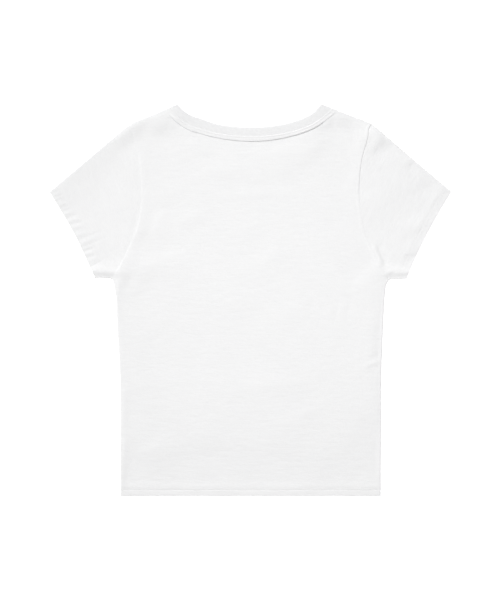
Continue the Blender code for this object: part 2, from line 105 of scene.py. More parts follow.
def arc_lengths(line: Array) -> Array:
    """Distance along a line of points at each of them."""
    steps = np.linalg.norm(np.diff(line, axis=0), axis=1)
    return np.concatenate([[0.0], np.cumsum(steps)])


def graded(length: float, head: Sequence[float], tail: Sequence[float], pitch: float) -> Array:
    """Distances along an edge: fixed ones from each end, and even ones between.

    Args:
        length: The edge's length.
        head: Distances from its start.
        tail: Distances from its end.
        pitch: Spacing of those between.

    Returns:
        The distances, in order.
    """
    start = head[-1]
    end = length - tail[-1]
    count = max(1, round((end - start) / pitch))
    middle = np.linspace(start, end, count + 1)[1:-1]
    return np.concatenate([head, middle, [length - mark for mark in reversed(tail)]])


def mirrored(half: Array) -> Array:
    """A whole grid from its right half, whose last column lies on the middle line."""
    return np.concatenate([half[:, :-1] * (-1.0, 1.0), half[:, ::-1]], axis=1)


def both_halves(half: Array) -> Array:
    """Values of a whole grid from those of one half."""
    return np.concatenate([half[:, :-1], half[:, ::-1]], axis=1)


def tube(first: Array, second: Array) -> Array:
    """Values round a tube, out over its first layer and back over its second."""
    return np.concatenate([first, second[:, -2::-1]], axis=1)


def grid_area(grid: Array) -> float:
    """Area of a grid of points on the plane.

    Args:
        grid: Its points, in rows and columns.

    Returns:
        The area.
    """
    down = grid[1:, :-1] - grid[:-1, :-1]
    across = grid[:-1, 1:] - grid[:-1, :-1]
    return float(np.abs(down[..., 0] * across[..., 1] - down[..., 1] * across[..., 0]).sum())


def ripple(along: Array, waves: Sequence[float], phase: float = 0.0) -> Array:
    """Uneven waves along an edge, from -1 to 1, as a few wavelengths on top of each other.

    Args:
        along: Distance along the edge.
        waves: The wavelengths.
        phase: Where each wave starts, in radians.

    Returns:
        The waves' height.
    """
    shift = 1.7
    total = np.zeros_like(along)
    for number, wave in enumerate(waves):
        total = total + np.sin(2 * math.pi * along / wave + phase + shift * number)
    return total / len(waves)


def on_line(at: Array, marks: Array, line: Array) -> Array:
    """Points of a line at distances along it, where the marks are those of its own points."""
    return np.stack([np.interp(at, marks, line[:, axis]) for axis in (0, 1)], axis=-1)


class SeamLine:
    """A dense line through a few stations, for a seam or an edge."""

    STEP = 0.5
    THIN = 3
    BLOCK = 8000

    def __init__(self, stations: Sequence[Array]) -> None:
        """Draws the line with its direction easing from station to station.

        Args:
            stations: The points that it goes through, in order.
        """
        points = np.asarray(stations, dtype=float)
        chord = arc_lengths(points)
        slope = np.gradient(points, chord, axis=0)
        at = np.linspace(0.0, chord[-1], int(chord[-1] / self.STEP) + 2)
        span = np.clip(np.searchsorted(chord, at, side="right") - 1, 0, len(points) - 2)
        size = (chord[span + 1] - chord[span])[:, None]
        t = (at - chord[span])[:, None] / size
        start = (1 + 2 * t) * (1 - t) ** 2 * points[span] + t * (1 - t) ** 2 * size * slope[span]
        end = t * t * (3 - 2 * t) * points[span + 1] - t * t * (1 - t) * size * slope[span + 1]
        self.points = start + end
        self.marks = arc_lengths(self.points)
        self.length = float(self.marks[-1])

    def at(self, marks: Array) -> Array:
        """Points at these distances from the start, straight on past the line's ends.

        Args:
            marks: Distances from the start.

        Returns:
            A point for each.
        """
        before = np.minimum(marks, 0.0)[..., None] * unit(self.points[1] - self.points[0])
        after = np.maximum(marks - self.length, 0.0)[..., None]
        after = after * unit(self.points[-1] - self.points[-2])
        return on_line(marks, self.marks, self.points) + before + after

    def directions(self, marks: Array, reach: float = 1.0) -> Array:
        """Directions of the line at these distances from the start.

        Args:
            marks: Distances from the start.
            reach: How far to each side the line is looked at.

        Returns:
            A unit vector for each.
        """
        ahead = self.at(np.minimum(marks + reach, self.length))
        behind = self.at(np.maximum(marks - reach, 0.0))
        return unit(ahead - behind)

    def nearest(self, points: Array) -> tuple[Array, Array]:
        """How far points lie from the line, and how far along it.

        Args:
            points: Pattern points, with any leading shape.

        Returns:
            The distance to the line's left, negative on its right, and the distance from its start.
        """
        flat = points.reshape(-1, 2)
        thin = self.points[::self.THIN]
        index = np.concatenate([
            np.argmin(((block[:, None, :] - thin) ** 2).sum(axis=-1), axis=1)
            for block in np.array_split(flat, max(1, len(flat) // self.BLOCK))
        ])
        along = self.marks[::self.THIN][index]
        direction = self.directions(along)
        gap = flat - self.at(along)
        side = direction[:, 0] * gap[:, 1] - direction[:, 1] * gap[:, 0]
        along = along + (direction * gap).sum(axis=-1)
        beyond = np.maximum(-along, along - self.length).clip(0.0)
        side = np.where(side < 0, -1, 1) * np.hypot(side, beyond)
        shape = points.shape[:-1]
        return side.reshape(shape), along.reshape(shape)


# -------------------------------------------------------------------------------- the pattern


@dataclass(frozen=True)
class Station:
    """A point of the pattern by its half width from the middle and its drop from the neck."""

    half_width: float
    drop: float


@dataclass(frozen=True)
class Crease:
    """A straight stretch of the laid cloth, from one place to another."""

    x: float
    drop: float
    to_x: float
    to_drop: float
    width: float

    def course(self, length: float) -> tuple[Array, Array]:
        """Where it starts and its run from there, on a shirt of this length."""
        start = np.array([self.x, length / 2 - self.drop])
        return start, np.array([self.to_x, length / 2 - self.to_drop]) - start


@dataclass(frozen=True)
class Fold(Crease):
    """A soft fold of the laid cloth, a ridge where its height is positive and a trough if not."""

    height: float
    bow: float = 0.0
    ends: float = 0.55

    def rise(self, points: Array, length: float) -> Array:
        """Height of the fold over pattern points, on a shirt of this length.

        Args:
            points: Pattern points.
            length: The shirt's length.

        Returns:
            The height at each point.
        """
        start, run = self.course(length)
        across = np.array([-run[1], run[0]]) / math.hypot(*run)
        along = np.clip((points - start) @ run / (run @ run), 0.0, 1.0)
        middle = start + along[..., None] * run
        middle = middle + (self.bow * 4 * along * (1 - along))[..., None] * across
        off = np.linalg.norm(points - middle, axis=-1)
        swell = self.ends + (1 - self.ends) * np.sin(math.pi * along)
        return self.height * swell * hump(off, self.width)


@dataclass(frozen=True)
class Lean(Crease):
    """A stretch where the cloth sinks across a line, to its right, and comes back far from it."""

    END_FADE = 1.6

    sink: float
    spread: float = 4.5

    def rise(self, points: Array, length: float) -> Array:
        """Height of the cloth about the line over pattern points, on a shirt of this length.

        Args:
            points: Pattern points.
            length: The shirt's length.

        Returns:
            The height at each point.
        """
        start, run = self.course(length)
        size = math.hypot(*run)
        right = np.array([run[1], -run[0]]) / size
        beside = (points - start) @ right
        along = (points - start) @ run / size
        past = np.maximum(np.maximum(-along, along - size), 0.0)
        fade = hump(past, self.END_FADE * self.width) * hump(beside, self.spread * self.width)
        return -self.sink / 2 * np.tanh(beside / self.width) * fade


@dataclass(frozen=True)
class Nudge:
    """A place where the shirt lies a little off its even outline."""

    x: float
    drop: float
    aside: float
    up: float
    reach: float


@dataclass(frozen=True)
class Bead:
    """A rounded bead along a seam: how high it is, how far from the seam and how wide."""

    height: float
    at: float
    width: float

    def rise(self, distance: Array) -> Array:
        """Its height at distances from the seam."""
        return self.height * hump(distance - self.at, self.width)


class Layer(Enum):
    """Which layer of the laid shirt a piece of cloth is in."""

    TOP = 1
    BOTTOM = -1


SIDE_SEAM = table(
    Station,  # half width, drop
    (208.0, 250.0), (206.0, 263.0), (203.2, 272.0), (201.6, 285.0),
    (199.8, 315.0), (198.0, 355.0), (196.2, 395.0), (195.2, 430.0),
    (195.0, 500.0), (195.0, 600.0),
)
ARMHOLE = table(
    Station,  # half width, drop
    (175.8, 51.0), (168.0, 81.0), (164.2, 111.0), (163.6, 135.0),
    (166.0, 164.0), (172.2, 192.0), (184.0, 219.0), (196.5, 243.5),
)
BACK_NECKLINE = table(
    Station,  # half width, drop
    (115.0, 12.2), (109.6, 18.0), (100.0, 26.2), (87.5, 33.0),
    (70.0, 39.4), (50.0, 44.4), (25.0, 47.9), (0.0, 48.9),
)
FRONT_NECKLINE = table(
    Station,  # half width, drop
    (115.2, 13.0), (109.5, 29.0), (99.0, 50.0), (82.0, 71.0),
    (58.0, 87.5), (30.0, 97.0), (0.0, 100.0),
)
NUDGES = table(
    Nudge,  # x, drop, aside, up, reach
    (-72.0, 22.0, 0.0, 1.6, 14.0),
    (-92.0, 37.0, 0.0, -1.2, 13.0),
    (-222.0, 262.0, 0.6, 1.2, 26.0),
    (-262.0, 200.0, 0.9, 0.2, 34.0),
    (216.0, 262.0, 0.4, -0.6, 24.0),
    (184.0, 34.0, 0.8, 0.7, 40.0),
    (196.0, 480.0, 0.8, 0.0, 90.0),
    (-197.0, 330.0, -0.8, 0.0, 36.0),
    (-107.0, 4.0, -2.8, -0.3, 24.0),
    (106.0, 3.0, -1.6, 0.2, 9.0),
    (124.0, 9.0, 3.0, -1.2, 12.0),
    (-203.0, 274.0, -1.7, 0.0, 12.0),
)
EDGE_FOLDS = table(
    Fold,  # x, drop, to_x, to_drop, width, height, bow, ends
    (-240, 252.5, -196, 252.5, 6.5, 1.15, 0.0, 0.8),
    (210, 252.5, 246, 252, 6.0, 1.2, 0.0, 0.8),
    (186, 40, 204, 54, 12, 0.9, 0.0, 0.8),
    (165, 120, 171, 44, 12, 0.3, 0.0, 0.5),
    (-170, 62, -165, 150, 4, -0.16, 0.0, 0.6),
    (-165, 150, -184, 222, 4, -0.3, 0.0, 0.7),
)
BODY_LEANS = table(
    Lean,  # x, drop, to_x, to_drop, width, sink, spread
    (-156, 236, -103, 220, 7, -0.8),
    (-186, 290, -156, 262, 16, 2.0, 2.6),
    (-204, 292, -184, 260, 6, 1.6, 2.6),
    (164, 262, 186, 242, 7, -1.1),
    (-136, 40, -104, 28, 8, 1.6, 2.6),
    (-128, 46, -96, 45, 7, 0.8, 3.0),
    (110, 38, 144, 26, 7, 1.5, 3.0),
    (152, 36, 170, 34, 5, 0.5),
    (158, 84, 166, 52, 9, -0.45),
    (143, 120, 158, 108, 7, -0.5),
    (-117, 124, -57, 93, 9, -0.35),
    (-57, 93, 3, 84, 9, -0.4),
    (30, 72, 60, 57, 7, -0.4),
    (87, 84, 112, 60, 9, 0.35),
    (-142, 153, -120, 150, 6, 0.6),
    (-147, 186, -138, 165, 5, -0.8),
    (-168, 204, -154, 190, 6, 0.8),
    (-96, 183, -78, 177, 5, 0.5),
    (-96, 168, -84, 160, 5, -0.5),
    (12, 231, 30, 219, 7, -0.8),
    (187, 386, 191, 322, 7, 0.9, 3.0),
    (-189, 489, -183, 436, 7, 0.9),
    (-190, 561, -186, 510, 6, 1.1),
    (-180, 534, -75, 522, 15, 0.8),
    (-70, 522, 60, 528, 18, 1.0),
    (66, 486, 114, 454, 12, 0.35),
    (60, 470, 96, 450, 8, -0.5),
    (120, 540, 190, 486, 26, 1.0, 3.0),
    (-92, 568, -42, 562, 8, -0.8),
    (30, 569, 75, 565, 8, -0.7),
    (135, 566, 188, 560, 8, -0.5),
    (-158, 516, -135, 507, 7, -0.6),
    (-120, 300, -30, 312, 22, 0.7),
    (-150, 405, 40, 398, 16, -0.6),
    (20, 318, 60, 300, 10, -0.5),
)
SLEEVE_LEANS = table(
    Lean,  # x, drop, to_x, to_drop, width, sink, spread
    (-262, 126, -246, 118, 6, -0.6),
    (-222, 150, -190, 84, 18, -0.5, 3.0),
    (-243, 244, -198, 236, 7, -0.7, 2.5),
    (236, 92, 252, 78, 5, 1.3, 3.0),
    (261, 114, 275, 100, 6, 0.4),
    (249, 130, 262, 122, 5, 0.5),
    (237, 177, 249, 165, 7, -0.9),
    (234, 198, 252, 189, 6, 0.8),
    (232, 231, 246, 225, 5, 0.9),
    (198.5, 238, 190, 216, 3.4, 1.9, 2.6),
    (178, 54, 200, 38, 7, 2.2, 2.4),
    (190, 66, 212, 50, 8, 2.4, 2.6),
    (180, 84, 212, 50, 16, 1.5, 2.2),
    (214, 84, 238, 64, 9, 1.1),
    (-202, 58, -176, 33, 9, 1.0, 2.2),
    (215, 150, 262, 95, 40, 2.4, 1.4),
    (-186, 58, -164, 36, 8, 1.5, 2.4),
    (206, 244, 246, 238, 5, -0.6, 2.5),
    (207, 84, 222, 69, 7, -0.5),
    (186, 120, 196, 96, 8, 0.6),
    (276, 156, 292, 129, 6, 0.6),
)
SMALL_FOLDS = table(
    Fold,  # x, drop, to_x, to_drop, width, height, bow
    (183, 64, 196, 42, 8, 1.0),
    (87, 327, 93, 294, 3, -0.28),
    (105, 324, 111, 294, 3, -0.25),
    (126, 327, 132, 297, 3.5, -0.3),
    (144, 324, 150, 288, 3.5, -0.26),
    (171, 396, 197, 386, 3.5, 0.5, 2),
    (177, 384, 195, 378, 2.5, -0.3),
    (-122, 22, -104, 34, 2.4, -0.5),
    (-130, 20, -120, 30, 2.2, -0.4),
    (118, 24, 128, 34, 8, -0.9),
    (-60, 352, -100, 345, 9, -0.4),
    (-30, 140, 60, 134, 7, 0.3, 3),
    (-90, 290, 10, 300, 12, 0.3, -4),
    (-20, 430, 90, 420, 12, 0.35, 4),
)


@dataclass
class ShirtPattern:
    """The flat pattern of the shirt, its fold lines, and how it lies on the table.

    All lengths are millimetres. Points are (x, y) on the pattern plane, with the middle of the
    shirt's length at y = 0.
    """

    length: float = 587.4
    cloth: float = 1.0
    layer_gap: float = 0.35
    seam_gap: float = 0.3
    fold_radius: float = 1.4
    neck_point: Station = Station(107.0, 0.0)
    shoulder_point: Station = Station(181.8, 30.2)
    cuff_top: Station = Station(301.5, 131.5)
    cuff_bottom: Station = Station(233.5, 261.8)
    underarm: Station = Station(207.5, 262.6)
    neck_at_shoulder: Station = Station(119.4, 4.9)
    shoulder_rounding: float = 4.0
    underarm_rounding: float = 7.0
    fold_lead: float = 6.0
    band_width: float = 14.0
    over_band: float = 2.5
    in_opening: float = 2.3
    hem_depth: float = 15.0
    over_hem: float = 0.2
    upper_ease: float = 24.0
    lower_ease: float = 58.0
    shoulder_puff: float = 1.1
    lowest: float = 1.5
    lowest_rounding: float = 0.5
    upper_share: float = 0.8
    lower_share: float = 0.45
    puff_fall: float = 0.25
    puff_reach: float = 260.0
    edge_hold: float = 0.85
    edge_width: float = 3.6
    band_lap: float = 1.0
    opening_lap: float = 4.0
    band_ease: float = 30.0
    hem_ease: float = 7.0
    hem_slope: float = 2.5
    right_head: tuple[float, float] = (122.0, 26.0)
    right_underarm: tuple[float, float] = (11.0, 6.0)
    left_underarm: tuple[float, float] = (70.0, 20.0)
    left_depth: float = 0.12
    side_points: int = 80
    folds: tuple[Union[Fold, Lean], ...] = EDGE_FOLDS + BODY_LEANS + SLEEVE_LEANS + SMALL_FOLDS
    armhole: SeamLine = field(init=False)
    back_neck: SeamLine = field(init=False)
    front_neck: SeamLine = field(init=False)
    side: SeamLine = field(init=False)

    def __post_init__(self) -> None:
        """Draws the seam lines from their stations."""
        self.half_cloth = self.cloth / 2
        self.mid_height = self.fold_radius + self.half_cloth
        self.seam_reach = self.fold_radius * math.pi / 2
        self.side_outline = SeamLine([self.place(station) for station in SIDE_SEAM]).points
        top = self.across_fold(self.shoulder_point, (-self.fold_lead, 0.0, self.seam_reach))
        bottom = self.across_fold(self.underarm, (-self.fold_lead, 0.0, self.seam_reach))
        middle = [self.place(station) for station in ARMHOLE]
        self.armhole = SeamLine(top[::-1] + middle + bottom)
        self.back_neck = self.neck_line(BACK_NECKLINE)
        self.front_neck = self.neck_line(FRONT_NECKLINE)
        self.side = self.side_line()

    def place(self, station: Station) -> Array:
        """The station as a pattern point of the right half."""
        return np.array([station.half_width, self.length / 2 - station.drop])

    def past_line(self, points: Array, start: Station, end: Station) -> Array:
        """Distance of points past the fold line along an outline edge, outward to its left.

        Args:
            points: Pattern points.
            start: The edge's first corner.
            end: Its last corner.

        Returns:
            The distance, negative inside.
        """
        along = unit(self.place(end) - self.place(start))
        outward = np.array([-along[1], along[0]])
        return (points - self.place(start)) @ outward + self.mid_height

    def past_upper(self, points: Array) -> Array:
        """Distance of pattern points past the fold along the shoulders and the sleeve tops.

        Args:
            points: Pattern points.

        Returns:
            The distance, negative inside.
        """
        right = on_right(points)
        shoulder = self.past_line(right, self.neck_point, self.shoulder_point)
        sleeve_top = self.past_line(right, self.shoulder_point, self.cuff_top)
        return smooth_max(shoulder, sleeve_top, self.shoulder_rounding)

    def past_lower(self, points: Array) -> Array:
        """Distance of pattern points past the fold along the underarms and the sides.

        Args:
            points: Pattern points.

        Returns:
            The distance, negative inside.
        """
        right = on_right(points)
        underarm = self.past_line(right, self.cuff_bottom, self.underarm)
        outline = self.side_outline
        side_x = np.interp(-right[..., 1], -outline[:, 1], outline[:, 0])
        side = right[..., 0] - side_x + self.mid_height
        return -smooth_max(-underarm, -side, self.underarm_rounding)

    def past_fold(self, points: Array) -> Array:
        """Distance of pattern points past the nearest fold line of the laid shirt."""
        return np.maximum(self.past_upper(points), self.past_lower(points))

    def fold_direction(self, points: Array, nudge: float = 0.05) -> Array:
        """The way straight out across the nearest fold line.

        Args:
            points: Pattern points.
            nudge: Step over which the slope is taken.

        Returns:
            A unit vector for each point.
        """
        slopes = []
        for step in (np.array([nudge, 0.0]), np.array([0.0, nudge])):
            slopes.append(self.past_fold(points + step) - self.past_fold(points - step))
        return unit(np.stack(slopes, axis=-1))

    def at_reach(self, points: Array, reach: float) -> Array:
        """The given points, moved straight across the fold until they lie this far past it.

        Args:
            points: Pattern points.
            reach: The distance past the fold.

        Returns:
            The moved points.
        """
        rounds = 6
        for _ in range(rounds):
            short = (reach - self.past_fold(points))[..., None]
            points = points + short * self.fold_direction(points)
        return points

    def across_fold(self, station: Station, marks: Sequence[float]) -> list[Array]:
        """Points in a straight line across the fold, at these distances past it.

        Args:
            station: Where the line crosses the fold.
            marks: The distances past it.

        Returns:
            A point for each.
        """
        foot = self.at_reach(self.place(station), 0.0)
        outward = self.fold_direction(foot)
        return [foot + outward * mark for mark in marks]

    def neck_line(self, stations: Sequence[Station]) -> SeamLine:
        """A neckline seam from the shoulder fold to the middle."""
        top = self.across_fold(self.neck_at_shoulder, (0.0, self.seam_reach))[::-1]
        return SeamLine(top + [self.place(station) for station in stations])

    def side_line(self) -> SeamLine:
        """The side seam from the underarm to the hem, half way round the fold.

        Returns:
            The seam of the right half.
        """
        start = self.underarm.drop + self.fold_lead
        drops = np.linspace(start, self.length, self.side_points)
        outline = self.side_outline
        half_widths = np.interp(drops, self.length / 2 - outline[:, 1], outline[:, 0])
        edge = np.stack([half_widths, self.length / 2 - drops], axis=1)
        corner = self.armhole.points[-1:]
        return SeamLine(np.vstack([corner, self.at_reach(edge, self.seam_reach)]))

    def inside_front_neck(self, points: Array) -> Array:
        """Distance of points inside the front neck seam, negative below it."""
        return -self.front_neck.nearest(on_right(points))[0]

    def cuff_way(self) -> Array:
        """The way down the cuff of the right sleeve, one long."""
        return unit(self.place(self.cuff_bottom) - self.place(self.cuff_top))

    def from_cuff(self, points: Array) -> Array:
        """Distance of points up the sleeve from the straight line between the cuff's corners.

        Args:
            points: Pattern points.

        Returns:
            The distance, which grows again below the lower corner, clear of the body.
        """
        right = on_right(points)
        along = self.cuff_way()
        inward = np.array([along[1], -along[0]])
        below = np.maximum(self.place(self.cuff_bottom)[1] - right[..., 1], 0.0)
        return (right - self.place(self.cuff_top)) @ inward + below

    def down_cuff(self, points: Array) -> Array:
        """Distance of points down the cuff from its top corner."""
        return (on_right(points) - self.place(self.cuff_top)) @ self.cuff_way()

    def from_hem(self, points: Array) -> Array:
        """Height of points over the bottom edge."""
        return points[..., 1] + self.length / 2

    def armhole_depth(self, along: Array, left: Array) -> Array:
        """How sharply an armhole seam is drawn in, from 0 to 1.

        Args:
            along: Distance down the seam from the shoulder.
            left: Whether it is the left armhole.

        Returns:
            The share, high down the right sleeve head and at both underarms.
        """
        to_end = self.armhole.length - along
        head = fading(along, *self.right_head)
        right = np.maximum(head, fading(to_end, *self.right_underarm))
        return np.where(left, self.left_depth * fading(to_end, *self.left_underarm), right)

    def top_height(self, points: Array) -> Array:
        """Height of the top layer's middle face over the table, away from the folds.

        Args:
            points: Pattern points.

        Returns:
            The height at each point.
        """
        rest = self.cloth + self.layer_gap + self.half_cloth
        neck = self.inside_front_neck(points)
        over_band = ease(1 + (neck + self.band_lap) / self.band_ease)
        in_opening = ease((neck - self.band_width + self.opening_lap) / self.band_ease)
        height = rest + (self.over_band - rest) * over_band
        height = height + (self.in_opening - self.over_band) * in_opening
        to_edge = np.minimum(self.from_hem(points), np.maximum(self.from_cuff(points), 0.0))
        turned_up = 1 + (self.hem_depth + self.hem_slope - to_edge) / self.hem_ease
        height = height + self.over_hem * ease(turned_up)
        before_upper = np.minimum(self.past_upper(points), 0.0)
        before_lower = np.minimum(self.past_lower(points), 0.0)
        upper = self.upper_share * hump(before_upper, self.upper_ease)
        lower = self.lower_share * hump(before_lower, self.lower_ease)
        to_top = self.mid_height + self.fold_radius - height
        height = height + to_top * np.maximum(upper, lower)
        far = ease(np.abs(points[..., 0]) / self.puff_reach)
        height = height + self.shoulder_puff * upper * (1 - self.puff_fall * far)
        before_fold = np.minimum(self.past_fold(points), 0.0)
        loose = 1 - self.edge_hold * hump(before_fold, self.edge_width)
        creases = sum(fold.rise(points, self.length) for fold in self.folds)
        return smooth_max(height + creases * loose, self.lowest, self.lowest_rounding)

    def nudged(self, plan: Array) -> Array:
        """The same places, moved as the shirt lies off its even outline.

        Args:
            plan: Places on the table.

        Returns:
            The moved places.
        """
        moved = plan
        for nudge in NUDGES:
            centre = np.array([nudge.x, self.length / 2 - nudge.drop])
            off = np.linalg.norm(plan - centre, axis=-1)
            moved = moved + hump(off, nudge.reach)[..., None] * (nudge.aside, nudge.up)
        return moved

    def wrap(self, points: Array, layer: Array) -> Array:
        """Where pattern points of each layer's middle face lie on the table.

        Args:
            points: Pattern points, with any leading shape.
            layer: 1 for the top layer and -1 for the bottom one, at each point.

        Returns:
            Their places, in millimetres.
        """
        reach = np.maximum(self.past_fold(points), 0.0)
        outward = self.fold_direction(points)
        foot = points - outward * reach[..., None]
        turn = reach / self.fold_radius
        plan = self.nudged(foot + outward * (self.fold_radius * np.sin(turn))[..., None])
        flat = np.where(layer == Layer.TOP.value, self.top_height(foot), self.half_cloth)
        height = self.mid_height + (flat - self.mid_height) * np.cos(turn)
        return np.concatenate([plan, height[..., None]], axis=-1)

    def facing_up(self, points: Array, layer: Array) -> Array:
        """How far the cloth's outer face points up: 1 on the top layer, 0 on the bottom one."""
        turn = np.maximum(self.past_fold(points), 0.0) / self.fold_radius
        return 0.5 + 0.5 * layer * np.cos(turn)


# --------------------------------------------------------------------------------- shader maths


class Value:
    """A number in a shader, on which Python's operators add Math nodes."""

    def __init__(self, graph: "ShaderGraph", socket: bpy.types.NodeSocket) -> None:
        """Wraps an output socket of the graph."""
        self.graph = graph
        self.socket = socket

    def math(self, operation: str, *others: Link) -> "Value":
        """The result of a Math node on this value and up to two others.

        Args:
            operation: The node's operation.
            others: Its other values.

        Returns:
            Its result.
        """
        sockets = dict(enumerate((self, *others)))
        node = self.graph.node("ShaderNodeMath", {"operation": operation}, sockets)
        return Value(self.graph, node.outputs[0])

    def flipped(self, operation: str, other: float) -> "Value":
        """The result of a Math node with the other value first.

        Args:
            operation: The node's operation.
            other: The first value.

        Returns:
            Its result.
        """
        settings = {"operation": operation}
        node = self.graph.node("ShaderNodeMath", settings, {0: other, 1: self})
        return Value(self.graph, node.outputs[0])

    def __add__(self, other: Link) -> "Value":
        """Sum."""
        return self.math("ADD", other)

    __radd__ = __add__

    def __sub__(self, other: Link) -> "Value":
        """Difference."""
        return self.math("SUBTRACT", other)

    def __rsub__(self, other: float) -> "Value":
        """Difference, from a number."""
        return self.flipped("SUBTRACT", other)

    def __mul__(self, other: Link) -> "Value":
        """Product."""
        return self.math("MULTIPLY", other)

    __rmul__ = __mul__

    def __truediv__(self, other: Link) -> "Value":
        """Quotient."""
        return self.math("DIVIDE", other)

    def __pow__(self, other: Link) -> "Value":
        """Power."""
        return self.math("POWER", other)

    def fraction(self) -> "Value":
        """The part after the decimal point."""
        return self.math("FRACT")

    def sine(self) -> "Value":
        """Sine of an angle in radians."""
        return self.math("SINE")

    def size(self) -> "Value":
        """The value without its sign."""
        return self.math("ABSOLUTE")

    def between(self, low: float, high: float) -> "Value":
        """0 up to low, 1 from high, and a smooth step between.

        Args:
            low: Where the step starts.
            high: Where it ends.

        Returns:
            The step.
        """
        settings = {"interpolation_type": "SMOOTHSTEP"}
        sockets = {"Value": self, "From Min": low, "From Max": high}
        node = self.graph.node("ShaderNodeMapRange", settings, sockets)
        return Value(self.graph, node.outputs[0])


class ShaderGraph:
    """A material with one Principled surface, and the nodes that feed it."""

    def __init__(self, name: str) -> None:
        """Makes the material.

        Args:
            name: The material's name.
        """
        self.material = bpy.data.materials.new(name)
        self.material.use_nodes = True
        self.tree = self.material.node_tree
        self.surface = self.tree.nodes["Principled BSDF"]

    def node(self, kind: str, settings: Optional[dict[str, Any]] = None,
             sockets: Optional[dict[Any, Link]] = None) -> bpy.types.Node:
        """A new node of the graph.

        Args:
            kind: Its type.
            settings: Its own settings, which are set first.
            sockets: Values or links for its inputs, by name or number.

        Returns:
            The node.
        """
        made = self.tree.nodes.new(kind)
        for name, setting in (settings or {}).items():
            setattr(made, name, setting)
        for name, value in (sockets or {}).items():
            self.feed(made.inputs[name], value)
        return made

    def feed(self, socket: bpy.types.NodeSocket, value: Link) -> None:
        """Links a value to an input socket, or sets a constant on it.

        Args:
            socket: The input.
            value: What it gets.
        """
        if isinstance(value, Value):
            self.tree.links.new(value.socket, socket)
        elif isinstance(value, bpy.types.NodeSocket):
            self.tree.links.new(value, socket)
        else:
            socket.default_value = value

    def cloth_place(self) -> tuple[Value, Value]:
        """Place on the flat cloth in millimetres, across its wales and along them.

        Returns:
            The two lengths.
        """
        uv = self.node("ShaderNodeUVMap", {"uv_map": ClothSheet.UV_NAME})
        parts = self.node("ShaderNodeSeparateXYZ", None, {0: uv.outputs[0]})
        across, along = (Value(self, parts.outputs[axis]) for axis in ("X", "Y"))
        return across * (1 / MM), along * (1 / MM)

    def noise(self, place: Sequence[Value], cell: Sequence[float], layer: float,
              detail: float) -> Value:
        """Smooth noise about 0.5 over the flat cloth.

        Args:
            place: Place on the cloth in millimetres, across and along.
            cell: Size of the noise's cells, across and along.
            layer: Which slice of the noise it is.
            detail: How many finer layers it has.

        Returns:
            The noise.
        """
        across, along = (value / size for value, size in zip(place, cell))
        vector = self.node("ShaderNodeCombineXYZ", None, {0: across, 1: along, 2: layer})
        sockets = {"Vector": vector.outputs[0], "Scale": 1.0, "Detail": detail}
        made = self.node("ShaderNodeTexNoise", {"noise_dimensions": "3D"}, sockets)
        return Value(self, made.outputs["Fac"])

    def tint(self, color: Color, dark: Color, share: Value) -> bpy.types.NodeSocket:
        """A colour that turns to a darker one by a share.

        Args:
            color: The colour at a share of 0.
            dark: The colour at 1.
            share: The share.

        Returns:
            The colour's socket.
        """
        settings = {"data_type": "RGBA", "blend_type": "MIX"}
        made = self.node("ShaderNodeMix", settings, {0: share, 6: color, 7: dark})
        return made.outputs[2]

    def bump(self, height: Value, distance: float) -> bpy.types.NodeSocket:
        """A surface normal from a height of 0 to 1 that is this many millimetres deep."""
        sockets = {"Height": height, "Distance": distance * MM, "Strength": 1.0}
        return self.node("ShaderNodeBump", None, sockets).outputs[0]

    def finish(self, **sockets: Link) -> bpy.types.Material:
        """Feeds the surface's sockets, named with _ for a space, and gives the material.

        Args:
            sockets: What goes into each of them.

        Returns:
            The material.
        """
        for name, value in sockets.items():
            self.feed(self.surface.inputs[name.replace("_", " ")], value)
        return self.material


CLOTH_SURFACE = {"Specular_IOR_Level": 0.2, "Sheen_Weight": 0.06, "Sheen_Roughness": 0.5}


